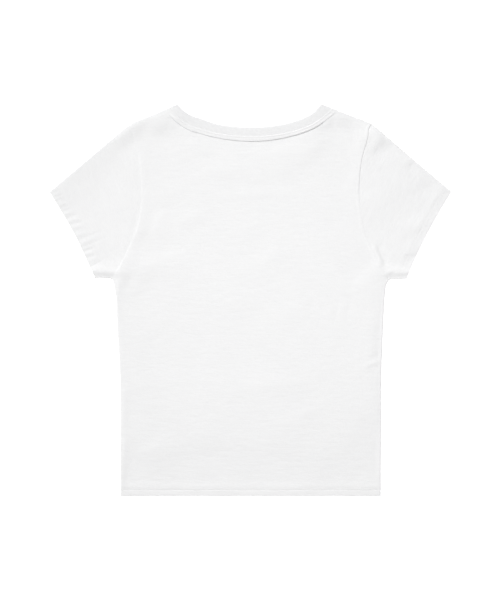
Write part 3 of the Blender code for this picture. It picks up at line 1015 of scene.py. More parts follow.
@dataclass(frozen=True)
class JerseyFinish:
    """Plain white single jersey: fine columns of stitches, a little uneven in every course, with
    painted shade in its low streaks.
    """

    name: str = "white_jersey"
    color: Color = (0.905, 0.905, 0.907, 1.0)
    shade: Color = (0.835, 0.835, 0.842, 1.0)
    wale: float = 0.85
    course: float = 0.68
    arm_slant: float = 0.5
    loop_height: float = 0.3
    relief: float = 0.17
    knit: float = 0.5
    unevenness: float = 1.2
    crumple: float = 2.3
    long_streak: Size = (26.0, 1.9)
    short_streak: Size = (5.2, 1.7)
    mottle_cell: Size = (46.0, 38.0)
    crumple_cell: Size = (16.0, 7.0)
    streak_steps: Size = (0.78, 0.22)
    streak_tone_and_shade: float = 0.36
    mottle_steps: Size = (0.7, 0.3)
    mottle_tint: float = 0.10
    roughness: float = 0.93
    gloss: float = 0.08

    def stitches(self, across: Value, along: Value) -> Value:
        """Height of the V-shaped stitches of the knit face.

        Args:
            across: Place across the wales.
            along: Place along them.

        Returns:
            The height, from 0 to 1.
        """
        wale = (across / self.wale).fraction()
        from_middle = (wale - 0.5).size() * 2
        turns = along / self.course + from_middle * self.arm_slant
        wave = (turns * (2 * math.pi)).sine()
        return (wave * self.loop_height + (1 - self.loop_height)) * (1 - from_middle ** 3)

    def streaks(self, graph: ShaderGraph, across: Value, along: Value) -> Value:
        """How much thicker the yarn is from place to place, in short level streaks.

        Args:
            graph: The material's nodes.
            across: Place across the wales.
            along: Place along them.

        Returns:
            The share, about 0.5.
        """
        long_streaks = graph.noise((across, along), self.long_streak, 0.0, 2.0)
        short_streaks = graph.noise((across, along), self.short_streak, 7.0, 1.0)
        return long_streaks * 0.5 + short_streaks * 0.5

    def build(self) -> bpy.types.Material:
        """The material.

        Returns:
            The finished material.
        """
        graph = ShaderGraph(self.name)
        across, along = graph.cloth_place()
        streaks = self.streaks(graph, across, along)
        mottle = graph.noise((across, along), self.mottle_cell, 3.0, 2.0)
        crumple = graph.noise((across, along), self.crumple_cell, 5.0, 2.0)
        # the colour darkens where the streaks sink in the bump: painted shade in the low streaks,
        # together with the yarn's own uneven tone
        share = streaks.between(*self.streak_steps) * self.streak_tone_and_shade
        share = share + mottle.between(*self.mottle_steps) * self.mottle_tint
        height = self.stitches(across, along) * self.knit + streaks * self.unevenness
        height = height + crumple * self.crumple
        return graph.finish(
            Base_Color=graph.tint(self.color, self.shade, share),
            Roughness=self.roughness - streaks * self.gloss,
            Normal=graph.bump(height, self.relief),
            **CLOTH_SURFACE,
        )


@dataclass(frozen=True)
class RibFinish:
    """White fine rib: narrow raised wales that run straight across the neckband, with painted shade
    in the grooves between them.
    """

    name: str = "white_rib"
    color: Color = (0.895, 0.895, 0.897, 1.0)
    shade: Color = (0.80, 0.80, 0.81, 1.0)
    pitch: float = 1.9
    course: float = 0.75
    relief: float = 0.22
    roughness: float = 0.92
    gloss: float = 0.08
    rib_steps: Size = (0.95, 0.25)
    rib_height: float = 0.8
    arm_slant: float = 0.6
    loop_height: float = 0.12
    unevenness: float = 0.3
    uneven_cell: Size = (6.0, 2.4)
    uneven_steps: Size = (0.7, 0.3)
    groove_painted_shade: float = 0.4
    uneven_tint: float = 0.25

    def build(self) -> bpy.types.Material:
        """The material.

        Returns:
            The finished material.
        """
        graph = ShaderGraph(self.name)
        around, across = graph.cloth_place()
        wale = (around / self.pitch).fraction()
        from_middle = (wale - 0.5).size() * 2
        rib = from_middle.between(*self.rib_steps)
        turns = across / self.course + from_middle * self.arm_slant
        loops = (turns * (2 * math.pi)).sine()
        uneven = graph.noise((around, across), self.uneven_cell, 2.0, 2.0)
        share = uneven.between(*self.uneven_steps) * self.uneven_tint
        # the grooves between the wales are darkened in colour: painted shade
        share = (1 - rib) * self.groove_painted_shade + share
        height = rib * (loops * self.loop_height + self.rib_height) + uneven * self.unevenness
        return graph.finish(
            Base_Color=graph.tint(self.color, self.shade, share),
            Roughness=self.roughness - uneven * self.gloss,
            Normal=graph.bump(height, self.relief),
            **CLOTH_SURFACE,
        )


@dataclass(frozen=True)
class ThreadFinish:
    """White spun sewing thread, with the twist of its plies and painted shade between them."""

    name: str = "white_thread"
    color: Color = (0.89, 0.89, 0.89, 1.0)
    shade: Color = (0.78, 0.78, 0.79, 1.0)
    twist: float = 0.55
    slant: float = 0.8
    tint: float = 0.5
    relief: float = 0.05
    roughness: float = 0.8
    gloss: float = 0.15

    def build(self) -> bpy.types.Material:
        """The material.

        Returns:
            The finished material.
        """
        graph = ShaderGraph(self.name)
        place = graph.node("ShaderNodeTexCoord").outputs["Object"]
        parts = graph.node("ShaderNodeSeparateXYZ", None, {0: place})
        x, y, z = (Value(graph, parts.outputs[axis]) for axis in ("X", "Y", "Z"))
        turns = (x + y * self.slant + z) * (2 * math.pi / (self.twist * MM))
        plies = turns.sine() * 0.5 + 0.5
        return graph.finish(
            # the colour darkens between the plies, where the bump sinks: painted shade
            Base_Color=graph.tint(self.color, self.shade, (1 - plies) * self.tint),
            Roughness=self.roughness - plies * self.gloss,
            Normal=graph.bump(plies, self.relief),
            Specular_IOR_Level=0.3,
        )


@dataclass(frozen=True)
class TableFinish:
    """The pale studio table."""

    name: str = "pale_table"
    color: Color = (0.92, 0.92, 0.92, 1.0)
    roughness: float = 0.9
    glow: float = 0.75

    def build(self) -> bpy.types.Material:
        """The material.

        Returns:
            The finished material.
        """
        graph = ShaderGraph(self.name)
        return graph.finish(
            Base_Color=self.color,
            Roughness=self.roughness,
            Specular_IOR_Level=0.0,
            Emission_Color=(1.0, 1.0, 1.0, 1.0),
            Emission_Strength=self.glow,
        )


# ------------------------------------------------------------------------------- cloth as a wall


@dataclass
class ClothSheet:
    """A piece of cloth: a grid of pattern points, laid on the table and given its thickness."""

    UV_NAME = "cloth"
    STEP = 0.02
    WELD = 0.00001
    SHARP = math.radians(62)

    name: str
    pattern: ShirtPattern
    points: Array
    layers: Array
    outside: Array
    inside: Array
    cloth_uv: Array
    cut: tuple[float, float]
    cut_area: float
    closed: bool = False

    def faces(self) -> tuple[Array, Array]:
        """Places of the grid's points on the outer and the inner face, in millimetres.

        Returns:
            The places on the outer face and those on the inner one.
        """
        here = self.pattern.wrap(self.points, self.layers)
        along_x = self.pattern.wrap(self.points + (self.STEP, 0.0), self.layers)
        along_y = self.pattern.wrap(self.points + (0.0, self.STEP), self.layers)
        outward = unit(np.cross(along_x - here, along_y - here)) * self.layers[..., None]
        return here + outward * self.outside[..., None], here - outward * self.inside[..., None]

    def build(self, material: bpy.types.Material) -> bpy.types.Object:
        """Makes the piece: the grid bent to its inner face and extruded to its outer one.

        Args:
            material: Its finish.

        Returns:
            The piece, riding with the shirt.
        """
        outer, inner = self.faces()
        rows, columns = self.points.shape[:2]
        edit = bmesh.new()
        bmesh.ops.create_grid(edit, x_segments=columns - 1, y_segments=rows - 1, size=0.5)
        number = edit.verts.layers.int.new("number")
        for index, (vert, place) in enumerate(zip(edit.verts, inner.reshape(-1, 3) * MM)):
            vert[number] = index
            vert.co = place
        if self.closed:
            bmesh.ops.remove_doubles(edit, verts=edit.verts[:], dist=self.WELD)
        grown = bmesh.ops.extrude_face_region(edit, geom=edit.faces[:])
        outer_places = outer.reshape(-1, 3) * MM
        for part in grown["geom"]:
            if isinstance(part, bmesh.types.BMVert):
                part.co = outer_places[part[number]]
        if edit.calc_volume(signed=True) < 0:
            bmesh.ops.reverse_faces(edit, faces=edit.faces[:])
        mesh = bpy.data.meshes.new(self.name)
        edit.to_mesh(mesh)
        edit.free()
        self.give_uv(mesh)
        mesh.shade_smooth()
        mesh.set_sharp_from_angle(angle=self.SHARP)
        return dressed(self.name, mesh, material)

    def give_uv(self, mesh: bpy.types.Mesh) -> None:
        """Gives the mesh its place on the flat cloth, in metres, as a UV map.

        Args:
            mesh: The mesh, whose points still have their numbers.
        """
        numbers = np.zeros(len(mesh.vertices), np.int32)
        mesh.attributes["number"].data.foreach_get("value", numbers)
        corners = np.zeros(len(mesh.loops), np.int32)
        mesh.loops.foreach_get("vertex_index", corners)
        flat = self.cloth_uv.reshape(-1, 2)[numbers[corners]] * MM
        uv = mesh.uv_layers.new(name=self.UV_NAME)
        uv.data.foreach_set("uv", flat.astype(np.float32).ravel())
        mesh.attributes.remove(mesh.attributes["number"])


JERSEY_OUTSIDE = 0.5
JERSEY_INSIDE = 0.3


def jersey_walls(extra: Array, up: Array) -> dict[str, Array]:
    """How far jersey stands out from its middle face on both sides, with relief on what is up.

    Args:
        extra: The relief's rise at each point.
        up: How far the outer face points up there.

    Returns:
        The sheet's fields for both sides.
    """
    inside = JERSEY_INSIDE - np.minimum(extra, 0.0) * up
    return {"outside": JERSEY_OUTSIDE + extra * up, "inside": inside}


def tube_layers(points: Array, columns: int) -> Array:
    """The layer of each point of a tube, whose first columns are in the top layer.

    Args:
        points: The tube's grid.
        columns: How many columns are in the top layer.

    Returns:
        The layers' values.
    """
    layers = np.full(points.shape[:2], Layer.BOTTOM.value)
    layers[:, :columns] = Layer.TOP.value
    return layers


def add_object(name: str, data: Any) -> bpy.types.Object:
    """A new object of the scene with this data."""
    made = bpy.data.objects.new(name, data)
    bpy.context.scene.collection.objects.link(made)
    return made


def dressed(name: str, mesh: bpy.types.Mesh, material: bpy.types.Material) -> bpy.types.Object:
    """A piece of the shirt with its finish, riding with the whole shirt.

    Args:
        name: Its name.
        mesh: Its mesh.
        material: Its finish.

    Returns:
        The piece.
    """
    mesh.materials.append(material)
    piece = add_object(name, mesh)
    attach(piece, "root")
    return piece


# -------------------------------------------------------------------------------------- hems


@dataclass(frozen=True)
class Hem:
    """A turned-up hem, held by a twin-needle row."""

    depth: float = 15.0
    slope: float = 3.2
    raise_by: float = 0.18
    rounding: float = 0.8
    rows: tuple[float, float] = (8.7, 13.2)
    sinks: tuple[float, float] = (0.22, 0.0)
    row_width: float = 0.8
    soft_groove: float = 0.0
    groove_width: float = 3.4
    pull: float = 0.12
    pull_width: float = 7.0
    pull_lean: float = 0.4
    pull_waves: tuple[float, ...] = (11.0, 7.3, 17.0)
    between_rows: float = 11.0
    edge: float = 0.3
    wander: float = 0.35
    wander_waves: tuple[float, ...] = (61.0, 23.0)
    unevenness: float = 0.3
    uneven_waves: tuple[float, ...] = (17.0, 41.0, 9.0)
    lines: tuple[float, ...] = (
        0.0, 0.25, 0.6, 1.2, 2.2, 4.0, 6.0, 7.3, 7.9, 8.3, 8.7, 9.1, 9.6, 10.4, 11.6,
        12.5, 13.2, 13.9, 14.8, 15.8, 17.0, 19.0,
    )

    def wandering(self, along: Array) -> Array:
        """How far the needle rows wander up and down, along the edge."""
        return self.wander * ripple(along, self.wander_waves)

    def relief(self, distance: Array, along: Array) -> Array:
        """Rise of the outer face near a hem.

        Args:
            distance: Distance from the bottom edge.
            along: Distance along it.

        Returns:
            The rise in millimetres, down in the needle rows and rounded off at the edge.
        """
        up = self.raise_by * fading(distance, self.depth + self.slope, self.slope)
        for row, sink in zip(self.rows, self.sinks):
            uneven = 1 + self.unevenness * ripple(along, self.uneven_waves, row)
            off_row = distance - row - self.wandering(along)
            up = up - sink * uneven * hump(off_row, self.row_width)
        off_middle = distance - self.between_rows
        pulls = ripple(along + self.pull_lean * distance, self.pull_waves)
        pull = self.pull * pulls * hump(off_middle, self.pull_width)
        edge = self.edge * np.clip(1 - distance / self.rounding, 0.0, 1.0) ** 2
        return up + pull - edge - self.soft_groove * hump(off_middle, self.groove_width)


LEFT_CUFF_HEM = Hem(raise_by=0.1, slope=5.0, sinks=(0.0, 0.0), pull=0.03, edge=0.1)
RIGHT_CUFF_HEM = Hem(
    raise_by=0.08, slope=5.0, sinks=(0.0, 0.0), soft_groove=0.08, pull=0.04, edge=0.05,
)


@dataclass(frozen=True)
class Pucker:
    """A short pull in the cloth, up from a hem: where along it, how long, wide and high."""

    FOOT = 2.5
    REACH = 1.6
    STRENGTH = 1.15

    along: float
    length: float
    width: float
    height: float
    lean: float = 0.0

    def rise(self, distance: Array, along: Array) -> Array:
        """Height of the pucker at a distance from the edge and along it.

        Args:
            distance: Distance from the edge.
            along: Distance along it.

        Returns:
            The height.
        """
        centre = self.along + self.lean * distance
        fade = ease(distance / self.FOOT) * ease(self.REACH - distance / self.length)
        return self.STRENGTH * self.height * hump(along - centre, self.width) * fade


LEFT_CUFF_PUCKERS = table(
    Pucker,  # along, length, width, height, lean
    (5.0, 9.0, 2.6, -0.22),
    (11.5, 12.0, 2.2, -0.30, 0.1),
    (17.5, 9.0, 2.0, -0.30, 0.1),
    (25.0, 13.0, 2.2, 0.18, 0.1),
    (30.5, 11.0, 1.8, -0.16, 0.1),
    (35.5, 14.0, 1.8, -0.18, 0.15),
    (41.0, 13.0, 2.0, 0.20, 0.15),
    (47.5, 15.0, 1.9, -0.24, 0.15),
    (53.0, 14.0, 1.8, 0.22, 0.2),
    (58.5, 17.0, 1.9, -0.24, 0.2),
    (64.0, 15.0, 2.0, 0.20, 0.2),
    (70.0, 13.0, 1.8, -0.16, 0.2),
    (77.0, 16.0, 2.4, 0.20, 0.2),
    (84.5, 32.0, 2.0, -0.16, 0.1),
    (91.0, 28.0, 2.2, 0.16, 0.1),
    (96.5, 34.0, 2.0, -0.14, 0.1),
    (103.0, 15.0, 2.2, -0.38, 0.2),
    (108.5, 14.0, 2.0, 0.22, 0.2),
    (114.0, 12.0, 1.8, -0.26, 0.2),
    (121.0, 14.0, 3.0, 0.24),
    (129.0, 18.0, 1.4, -0.32),
    (137.0, 14.0, 2.4, 0.24),
)
RIGHT_CUFF_PUCKERS = table(
    Pucker,  # along, length, width, height, lean
    (18.0, 26.0, 5.0, 0.10),
    (38.0, 18.0, 4.0, -0.14),
    (58.0, 22.0, 5.0, 0.12),
    (79.0, 18.0, 4.0, -0.16),
    (98.0, 20.0, 4.0, 0.14),
    (113.0, 15.0, 2.6, -0.30, 0.3),
    (124.0, 14.0, 3.2, 0.22),
    (133.0, 12.0, 2.2, -0.20),
)


# --------------------------------------------------------------------------------- body panels


@dataclass
class BodyPanel:
    """The front or the back of the shirt, from its neck and armhole seams down to its hem."""

    name: str
    pattern: ShirtPattern
    neck: SeamLine
    layer: Layer
    pitch: float = 2.7
    neck_lines: tuple[float, ...] = (
        -0.8, -0.4, 0.0, 0.4, 0.9, 1.5, 2.3, 3.3, 4.5, 5.4, 5.9, 6.3, 6.7, 7.1, 7.5, 7.9,
        8.4, 9.2, 10.6,
    )
    side_lines: tuple[float, ...] = (
        0.0, 0.45, 0.9, 1.4, 1.9, 2.4, 3.0, 3.6, 4.2, 4.8, 5.6, 6.8, 8.6,
    )
    underarm_lines: tuple[float, ...] = (0.0, 0.7, 1.4, 2.2, 3.2, 4.6, 6.6)
    neck_columns: tuple[float, ...] = (0.0, 0.7, 1.4, 2.2, 3.4, 5.2)
    shoulder_end: tuple[float, ...] = (0.0, 2.6)
    side_top: tuple[float, ...] = (0.8, 2.0, 4.0)
    first_row: float = 0.1
    corner_spread: float = 42.0
    armhole_spread: float = 26.0
    shoulder_fade: float = 1.3
    tape_width: float = 6.6
    tape_raise: float = 0.8
    tape_ends: tuple[float, float] = (11.0, 22.0)
    tape_ease: float = 4.0
    tape_waver: float = 0.15
    tape_slope: float = 0.9
    tape_waves: tuple[float, ...] = (31.0, 13.0)
    belly: Bead = Bead(0.9, 6.0, 34.0)
    tape_reach: float = 34.0
    bare_share: float = 0.45
    left_share: float = 0.75
    groove: float = 0.55
    groove_lap: float = 0.3
    groove_floor: float = 1.0
    groove_back: float = 24.0
    lip: Bead = Bead(0.28, 0.9, 0.8)
    welt: Bead = Bead(0.35, 0.0, 0.9)
    tuck: float = 1.7
    tuck_end: float = 0.5
    tuck_slope: float = 1.3
    ridge_width: float = 4.2
    ridge_raise: float = 0.175
    ridge_waver: float = 0.3
    ridge_waves: tuple[float, ...] = (47.0, 19.0)
    ridge_slope: float = 2.4
    ridge_fade: float = 12.0
    swell: float = 0.22
    swell_rises: tuple[float, float] = (4.6, 1.4)
    swell_change: tuple[float, float] = (110.0, 60.0)
    swell_lap: float = 0.8
    swell_crest: float = 4.0
    swell_back: float = 16.0
    bevel: Bead = Bead(0.12, 0.0, 0.6)
    ditch: Bead = Bead(0.6, 0.0, 0.7)
    slump: Bead = Bead(0.4, 0.0, 5.0)
    slump_start: float = 25.0
    hidden_share: float = 0.3
    hem: Hem = Hem()

    def top_edge(self) -> tuple[Array, Array]:
        """Half the panel's shoulder and neck seam, and the way into the panel at each point.

        Returns:
            The points and the ways in.
        """
        lay = self.pattern
        start = lay.armhole.points[0]
        run = self.neck.points[0] - start
        length = float(np.linalg.norm(run))
        marks = graded(length, self.side_lines, self.shoulder_end, self.pitch)[:-1]
        shoulder = lay.at_reach(start + marks[:, None] * unit(run), lay.seam_reach)
        lean = ease(1 - (length - marks) / self.corner_spread)[:, None]
        shoulder_in = -lay.fold_direction(shoulder) - lean * unit(run)
        marks = graded(self.neck.length, self.neck_columns, (0.0,), self.pitch)
        curve = self.neck.at(marks)
        forward = self.neck.directions(marks)
        lean = ease(1 - marks / self.corner_spread)[:, None]
        neck_in = np.stack([-forward[:, 1], forward[:, 0]], axis=1) + lean * forward
        neck_in[-1] = (0.0, -1.0)
        return np.vstack([shoulder, curve]), np.vstack([shoulder_in, neck_in])

    def top_strip(self, across: Array, side: Array) -> Array:
        """Rows of points beside the shoulder and the neck.

        Args:
            across: Distance along the top edge of each column.
            side: Points down the armhole, which guide the rows where they start at it.

        Returns:
            The points, in rows from the edge inward.
        """
        top, inward = self.top_edge()
        at_side = ease(1 - across / self.armhole_spread)[:, None]
        on_neck = ease(across - across[-1] + self.neck.length)[:, None]
        strip = []
        for mark, end in zip(self.neck_lines, side):
            tucked = mark - self.neck_lines[0] + self.first_row
            straight = top + (tucked + (mark - tucked) * on_neck) * inward
            guided = top + (end - self.pattern.armhole.points[0])
            strip.append(straight + (guided - straight) * at_side)
        strip[-1][-1, 0] = 0.0
        return np.array(strip)

    def middle_line(self, top: float, share: Array) -> Array:
        """Points down the middle of the panel.

        Args:
            top: Where it starts.
            share: How far down each row is, in a column, with 1 at the rows of the hem.

        Returns:
            One point for each row.
        """
        hem = np.array(self.hem.lines[::-1]) - self.pattern.length / 2
        place = top + share * (hem[0] - top)
        place[-len(hem):, 0] = hem
        return np.concatenate([np.zeros_like(place), place], axis=1)[:, None, :]

    def half_grid(self) -> Array:
        """Pattern points of the panel's right half, from the side seam to the middle.

        Returns:
            The points, in rows from the neck down to the hem.
        """
        lay = self.pattern
        head = [mark - self.neck_lines[0] for mark in self.neck_lines]
        armhole_marks = graded(lay.armhole.length, head, self.underarm_lines, self.pitch)
        side_marks = graded(lay.side.length, self.side_top, self.hem.lines, self.pitch)
        side = np.vstack([lay.armhole.at(armhole_marks), lay.side.at(side_marks)])
        across = arc_lengths(self.top_edge()[0])
        strip = self.top_strip(across, side)
        rows = len(strip)
        start = strip[-1]
        down = np.concatenate([armhole_marks, armhole_marks[-1] + side_marks])
        share = (down - down[rows - 1]) / (down[-len(self.hem.lines)] - down[rows - 1])
        share = np.clip(share, 0.0, 1.0)[rows:, None]
        middle = self.middle_line(start[-1, 1], share)
        to_middle = (across / across[-1])[None, :, None]
        bulge = start - (1 - to_middle) * start[0] - to_middle * start[-1]
        fade = ((1 - share) ** self.shoulder_fade)[..., None]
        body = (1 - to_middle) * side[rows:][:, None, :] + to_middle * middle + fade * bulge
        points = np.concatenate([strip, body])
        points[:, 0] += unit(points[:, 1] - points[:, 0]) * lay.seam_gap / 2
        return points

    def tape_relief(self, points: Array) -> Array:
        """The band below the neck seam, where the seam's turning is stitched down.

        Args:
            points: Pattern points.

        Returns:
            The rise at each point, in millimetres.
        """
        down, along = self.neck.nearest(on_right(points))
        left = points[..., 0] < 0
        end = np.where(left, *self.tape_ends)
        here = ease((along - end) / self.tape_ease)
        depth = np.where(left, self.left_share, 1.0)
        depth = depth * (1 + self.tape_waver * ripple(along, self.tape_waves))
        width = self.tape_width + self.belly.rise(points[..., 0])
        step = ease((width - down) / self.tape_slope + 0.5)
        raised = self.tape_raise * (here + (1 - here) * self.bare_share) * step
        past = down - width
        back = ease(1 - (past - self.groove_floor) / self.groove_back)
        groove = self.groove * here * depth * ease(past + self.groove_lap) * back
        welt = (1 - here) * self.welt.rise(past)
        tucked = self.tuck * fading(down, self.tuck_end, self.tuck_slope)
        rise = raised - groove + self.lip.rise(down) + welt - tucked
        return np.where(down < self.tape_reach, rise, 0.0)

    def armhole_relief(self, points: Array) -> Array:
        """The ridge along the armhole seam, over the seam's turning, and the seam's own ditch.

        Args:
            points: Pattern points.

        Returns:
            The rise at each point, in millimetres.
        """
        gap, along = self.pattern.armhole.nearest(on_right(points))
        inward = -gap
        left = points[..., 0] < 0
        depth = self.pattern.armhole_depth(along, left)
        above = fading(along, self.pattern.armhole.length, self.ridge_fade)
        width = self.ridge_width + self.ridge_waver * ripple(along, self.ridge_waves)
        ridge = self.ridge_raise * ease((width - inward) / self.ridge_slope + 0.5)
        high, low = self.swell_rises
        start, over = self.swell_change
        rise = high + (low - high) * ease((along - start) / over)
        back = ease(1 - (inward - self.swell_crest) / self.swell_back)
        swell = self.swell * ease((inward + self.swell_lap) / rise) * back
        ridge = np.where(left, swell, ridge)
        ditch = self.bevel.rise(inward) + depth * self.ditch.rise(inward)
        slump = depth * self.slump.rise(inward) * ease(along / self.slump_start)
        return ridge * above - ditch - slump

    def relief(self, points: Array) -> Array:
        """Rise of the panel's outer face: its hem, its neck tape and its armhole ridges.

        Args:
            points: Pattern points.

        Returns:
            The rise at each point, in millimetres.
        """
        rise = self.hem.relief(self.pattern.from_hem(points), points[..., 0])
        rise = rise + self.tape_relief(points) + self.armhole_relief(points)
        return rise if self.layer is Layer.TOP else -np.abs(rise) * self.hidden_share

    def sheet(self) -> ClothSheet:
        """The panel as a sheet of cloth.

        Returns:
            The sheet, ready to build.
        """
        points = mirrored(self.half_grid())
        layers = np.full(points.shape[:2], self.layer.value)
        extra = self.relief(points)
        up = self.pattern.facing_up(points, layers)
        if self.layer is Layer.BOTTOM:
            up = 1 - up
        return ClothSheet(
            name=self.name,
            pattern=self.pattern,
            points=points,
            layers=layers,
            **jersey_walls(extra, up),
            cloth_uv=points,
            cut=tuple(np.ptp(points.reshape(-1, 2), axis=0)),
            cut_area=grid_area(points),
        )


@dataclass
class Sleeve:
    """A set-in short sleeve, a flattened tube from the armhole to its turned-up cuff."""

    name: str
    pattern: ShirtPattern
    side: int
    puckers: tuple[Pucker, ...]
    hem: Hem
    pitch: float = 1.6
    cuff_bow: float = 3.0
    seam_sink: float = 34.0
    sink: float = 0.1
    deep_sink: float = 0.65
    tuck: float = 0.35
    tuck_slope: float = 0.6
    phase: float = 500.0
    head_lines: tuple[float, ...] = (-0.8, -0.3, 0.15, 0.6, 1.1, 1.8, 3.0)
    around_head: tuple[float, ...] = (0.0, 0.7, 1.4, 2.2, 3.2, 4.6)

    def half_grid(self) -> tuple[Array, Array]:
        """Pattern points of the right sleeve's one layer, and their distances from the cuff.

        Returns:
            The points and the distances, in rows from armhole to cuff.
        """
        lay = self.pattern
        around = graded(lay.armhole.length, self.around_head, self.around_head, self.pitch)
        armhole = lay.armhole.at(around)
        share = (around / around[-1])[:, None]
        reach = (lay.seam_reach,)
        top = lay.across_fold(lay.cuff_top, reach)[0]
        bottom = lay.across_fold(lay.cuff_bottom, reach)[0]
        down_cuff = unit(bottom - top)
        up_sleeve = np.array([down_cuff[1], -down_cuff[0]])
        cuff = top + share * (bottom - top) + self.cuff_bow * 4 * share * (1 - share) * up_sleeve
        column = cuff - armhole
        length = np.linalg.norm(column, axis=1)[:, None]
        slant = -(column / length) @ up_sleeve[:, None]
        tail = length - np.array(self.hem.lines[::-1])[None, :] / slant
        head = np.array(self.head_lines)[None, :] * np.ones_like(length)
        count = round(float((tail[:, 0] - head[:, -1]).mean()) / self.pitch)
        steps = np.linspace(0.0, 1.0, count + 1)[None, 1:-1]
        between = head[:, -1:] + steps * (tail[:, :1] - head[:, -1:])
        marks = np.concatenate([head, between, tail], axis=1)
        points = armhole[:, None, :] + marks[..., None] * (column / length)[:, None, :]
        for end in (0, -1):
            points[end] = lay.at_reach(points[end], lay.seam_reach)
        from_edge = (length - marks) * slant
        return points.transpose(1, 0, 2), from_edge.T

    def relief(self, points: Array, from_edge: Array) -> Array:
        """Rise of the sleeve's outer face: its hem, puckers and the ditch at the armhole.

        Args:
            points: Pattern points of the right sleeve.
            from_edge: Their distances from the cuff.

        Returns:
            The rise at each point, in millimetres.
        """
        along = self.pattern.down_cuff(points)
        rise = self.hem.relief(from_edge, along + self.phase * (self.side + 1))
        for pucker in self.puckers:
            rise = rise + pucker.rise(from_edge, along)
        gap, down = self.pattern.armhole.nearest(points)
        depth = self.pattern.armhole_depth(down, np.full(down.shape, self.side < 0))
        under = self.tuck * ease(-gap / self.tuck_slope)
        back = ease(1 - np.maximum(gap, 0.0) / self.seam_sink)
        sunk = (self.sink + self.deep_sink * depth) * back
        return rise - under - sunk

    def sheet(self) -> ClothSheet:
        """The sleeve as a closed sheet of cloth.

        Returns:
            The sheet, ready to build.
        """
        half, from_edge = self.half_grid()
        right = tube(half, half)
        edge = tube(from_edge, from_edge)
        points = right * (self.side, 1.0)
        layers = tube_layers(points, half.shape[1])
        up = self.pattern.facing_up(points, layers)
        extra = self.relief(right, edge)
        along = self.pattern.cuff_way()
        turned = np.stack([right @ along, right @ np.array([-along[1], along[0]])], axis=-1)
        return ClothSheet(
            name=self.name,
            pattern=self.pattern,
            points=points,
            layers=layers,
            **jersey_walls(extra, up),
            cloth_uv=turned,
            cut=tuple(np.ptp(turned.reshape(-1, 2), axis=0) * (2.0, 1.0)),
            cut_area=grid_area(turned),
            closed=True,
        )


@dataclass
class Neckband:
    """The rib ring round the neck: across the back, over both shoulder folds and down in front."""

    name: str
    pattern: ShirtPattern
    pitch: float = 1.6
    outside: float = 1.02
    inside: float = 0.7
    hidden_outside: float = 0.5
    hidden_inside: float = 1.3
    free_edge: float = 2.2
    thinnest: float = 0.04
    crown: float = 0.12
    seam_dip: Bead = Bead(0.12, 0.1, 1.0)
    across: tuple[float, ...] = (
        -0.6, -0.1, 0.5, 1.1, 2.0, 3.0, 4.4, 6.0, 7.6, 9.2, 10.6, 11.8, 12.7, 13.3, 13.75, 14.0,
    )
    columns: tuple[float, ...] = (0.0, 0.7, 1.4, 2.2, 3.4)

    def half(self, line: SeamLine) -> tuple[Array, Array]:
        """Points of the band beside half a neck seam, and their places on the flat rib.

        Args:
            line: The half seam.

        Returns:
            The points and the places on the rib.
        """
        marks = graded(line.length, self.columns, (0.0,), self.pitch)
        forward = line.directions(marks)
        into_neck = np.stack([forward[:, 1], -forward[:, 0]], axis=1)
        into_neck[-1] = (0.0, 1.0)
        rows = np.array(self.across)[:, None, None]
        points = line.at(marks)[None] + rows * into_neck[None]
        flat = np.stack(np.broadcast_arrays(marks[None, :], rows[..., 0]), axis=-1)
        return points, flat

    def sheet(self) -> ClothSheet:
        """The band as a closed, folded ring of rib.

        Returns:
            The sheet, ready to build.
        """
        back, back_flat = self.half(self.pattern.back_neck)
        front, front_flat = self.half(self.pattern.front_neck)
        back = mirrored(back)
        points = tube(back, mirrored(front))
        flat = tube(both_halves(back_flat), both_halves(front_flat))
        layers = tube_layers(points, back.shape[1])
        up = self.pattern.facing_up(points, layers)
        across = np.array(self.across)[:, None]
        band = self.pattern.band_width
        free = np.clip((across - band + self.free_edge) / self.free_edge, 0.0, 1.0)
        fullness = np.sqrt(np.maximum(1 - free ** 2, self.thinnest))
        crown = 1 + self.crown * np.sin(math.pi * across / band)
        sunk = 1 - self.seam_dip.rise(across)
        outside = self.outside * up + self.hidden_outside * (1 - up)
        outside = outside * fullness * crown * sunk
        inside = (self.inside * up + self.hidden_inside * (1 - up)) * fullness
        outside, inside = (np.broadcast_to(side, points.shape[:2]) for side in (outside, inside))
        ring = 2 * (self.pattern.back_neck.length + self.pattern.front_neck.length)
        return ClothSheet(
            name=self.name,
            pattern=self.pattern,
            points=points,
            layers=layers,
            outside=outside,
            inside=inside,
            cloth_uv=flat,
            cut=(ring, band),
            cut_area=ring * band,
            closed=True,
        )


# --------------------------------------------------------------------------------- needle rows


@dataclass
class NeedleRow:
    """A row of straight stitches along a line of the top or bottom layer.

    Its rise is how far the cloth's face stands out at each point of the line.
    """

    pattern: ShirtPattern
    line: Array
    layer: Layer
    rise: Array
    bedded: float = 0.05
    pitch: float = 3.0
    stitch: float = 2.35
    thread: float = 0.36

    def places(self) -> list[Matrix]:
        """Where each stitch lies: its middle, its direction along X and the cloth's way out.

        Returns:
            A matrix for each stitch, in metres.
        """
        marks = arc_lengths(self.line)
        count = int(marks[-1] / self.pitch)
        if count < 1:
            return []
        centres = (np.arange(count) + 0.5) * marks[-1] / count
        lifts = self.pattern.half_cloth + self.bedded + np.interp(centres, marks, self.rise)
        ends = []
        for shift in (-0.5, 0.5):
            at = np.clip(centres + shift * self.stitch, 0.0, marks[-1])
            flat = on_line(at, marks, self.line)
            ends.append(self.pattern.wrap(flat, np.full(count, self.layer.value)))
        matrices = []
        for start, end, lift in zip(*ends, lifts):
            along = Vector(end - start).normalized()
            side = Vector((0, 0, self.layer.value)).cross(along).normalized()
            out = along.cross(side)
            centre = (Vector(start) + Vector(end)) / 2 + out * lift
            turn = Matrix((along, side, out)).transposed().to_4x4()
            matrices.append(Matrix.Translation(centre * MM) @ turn)
        return matrices


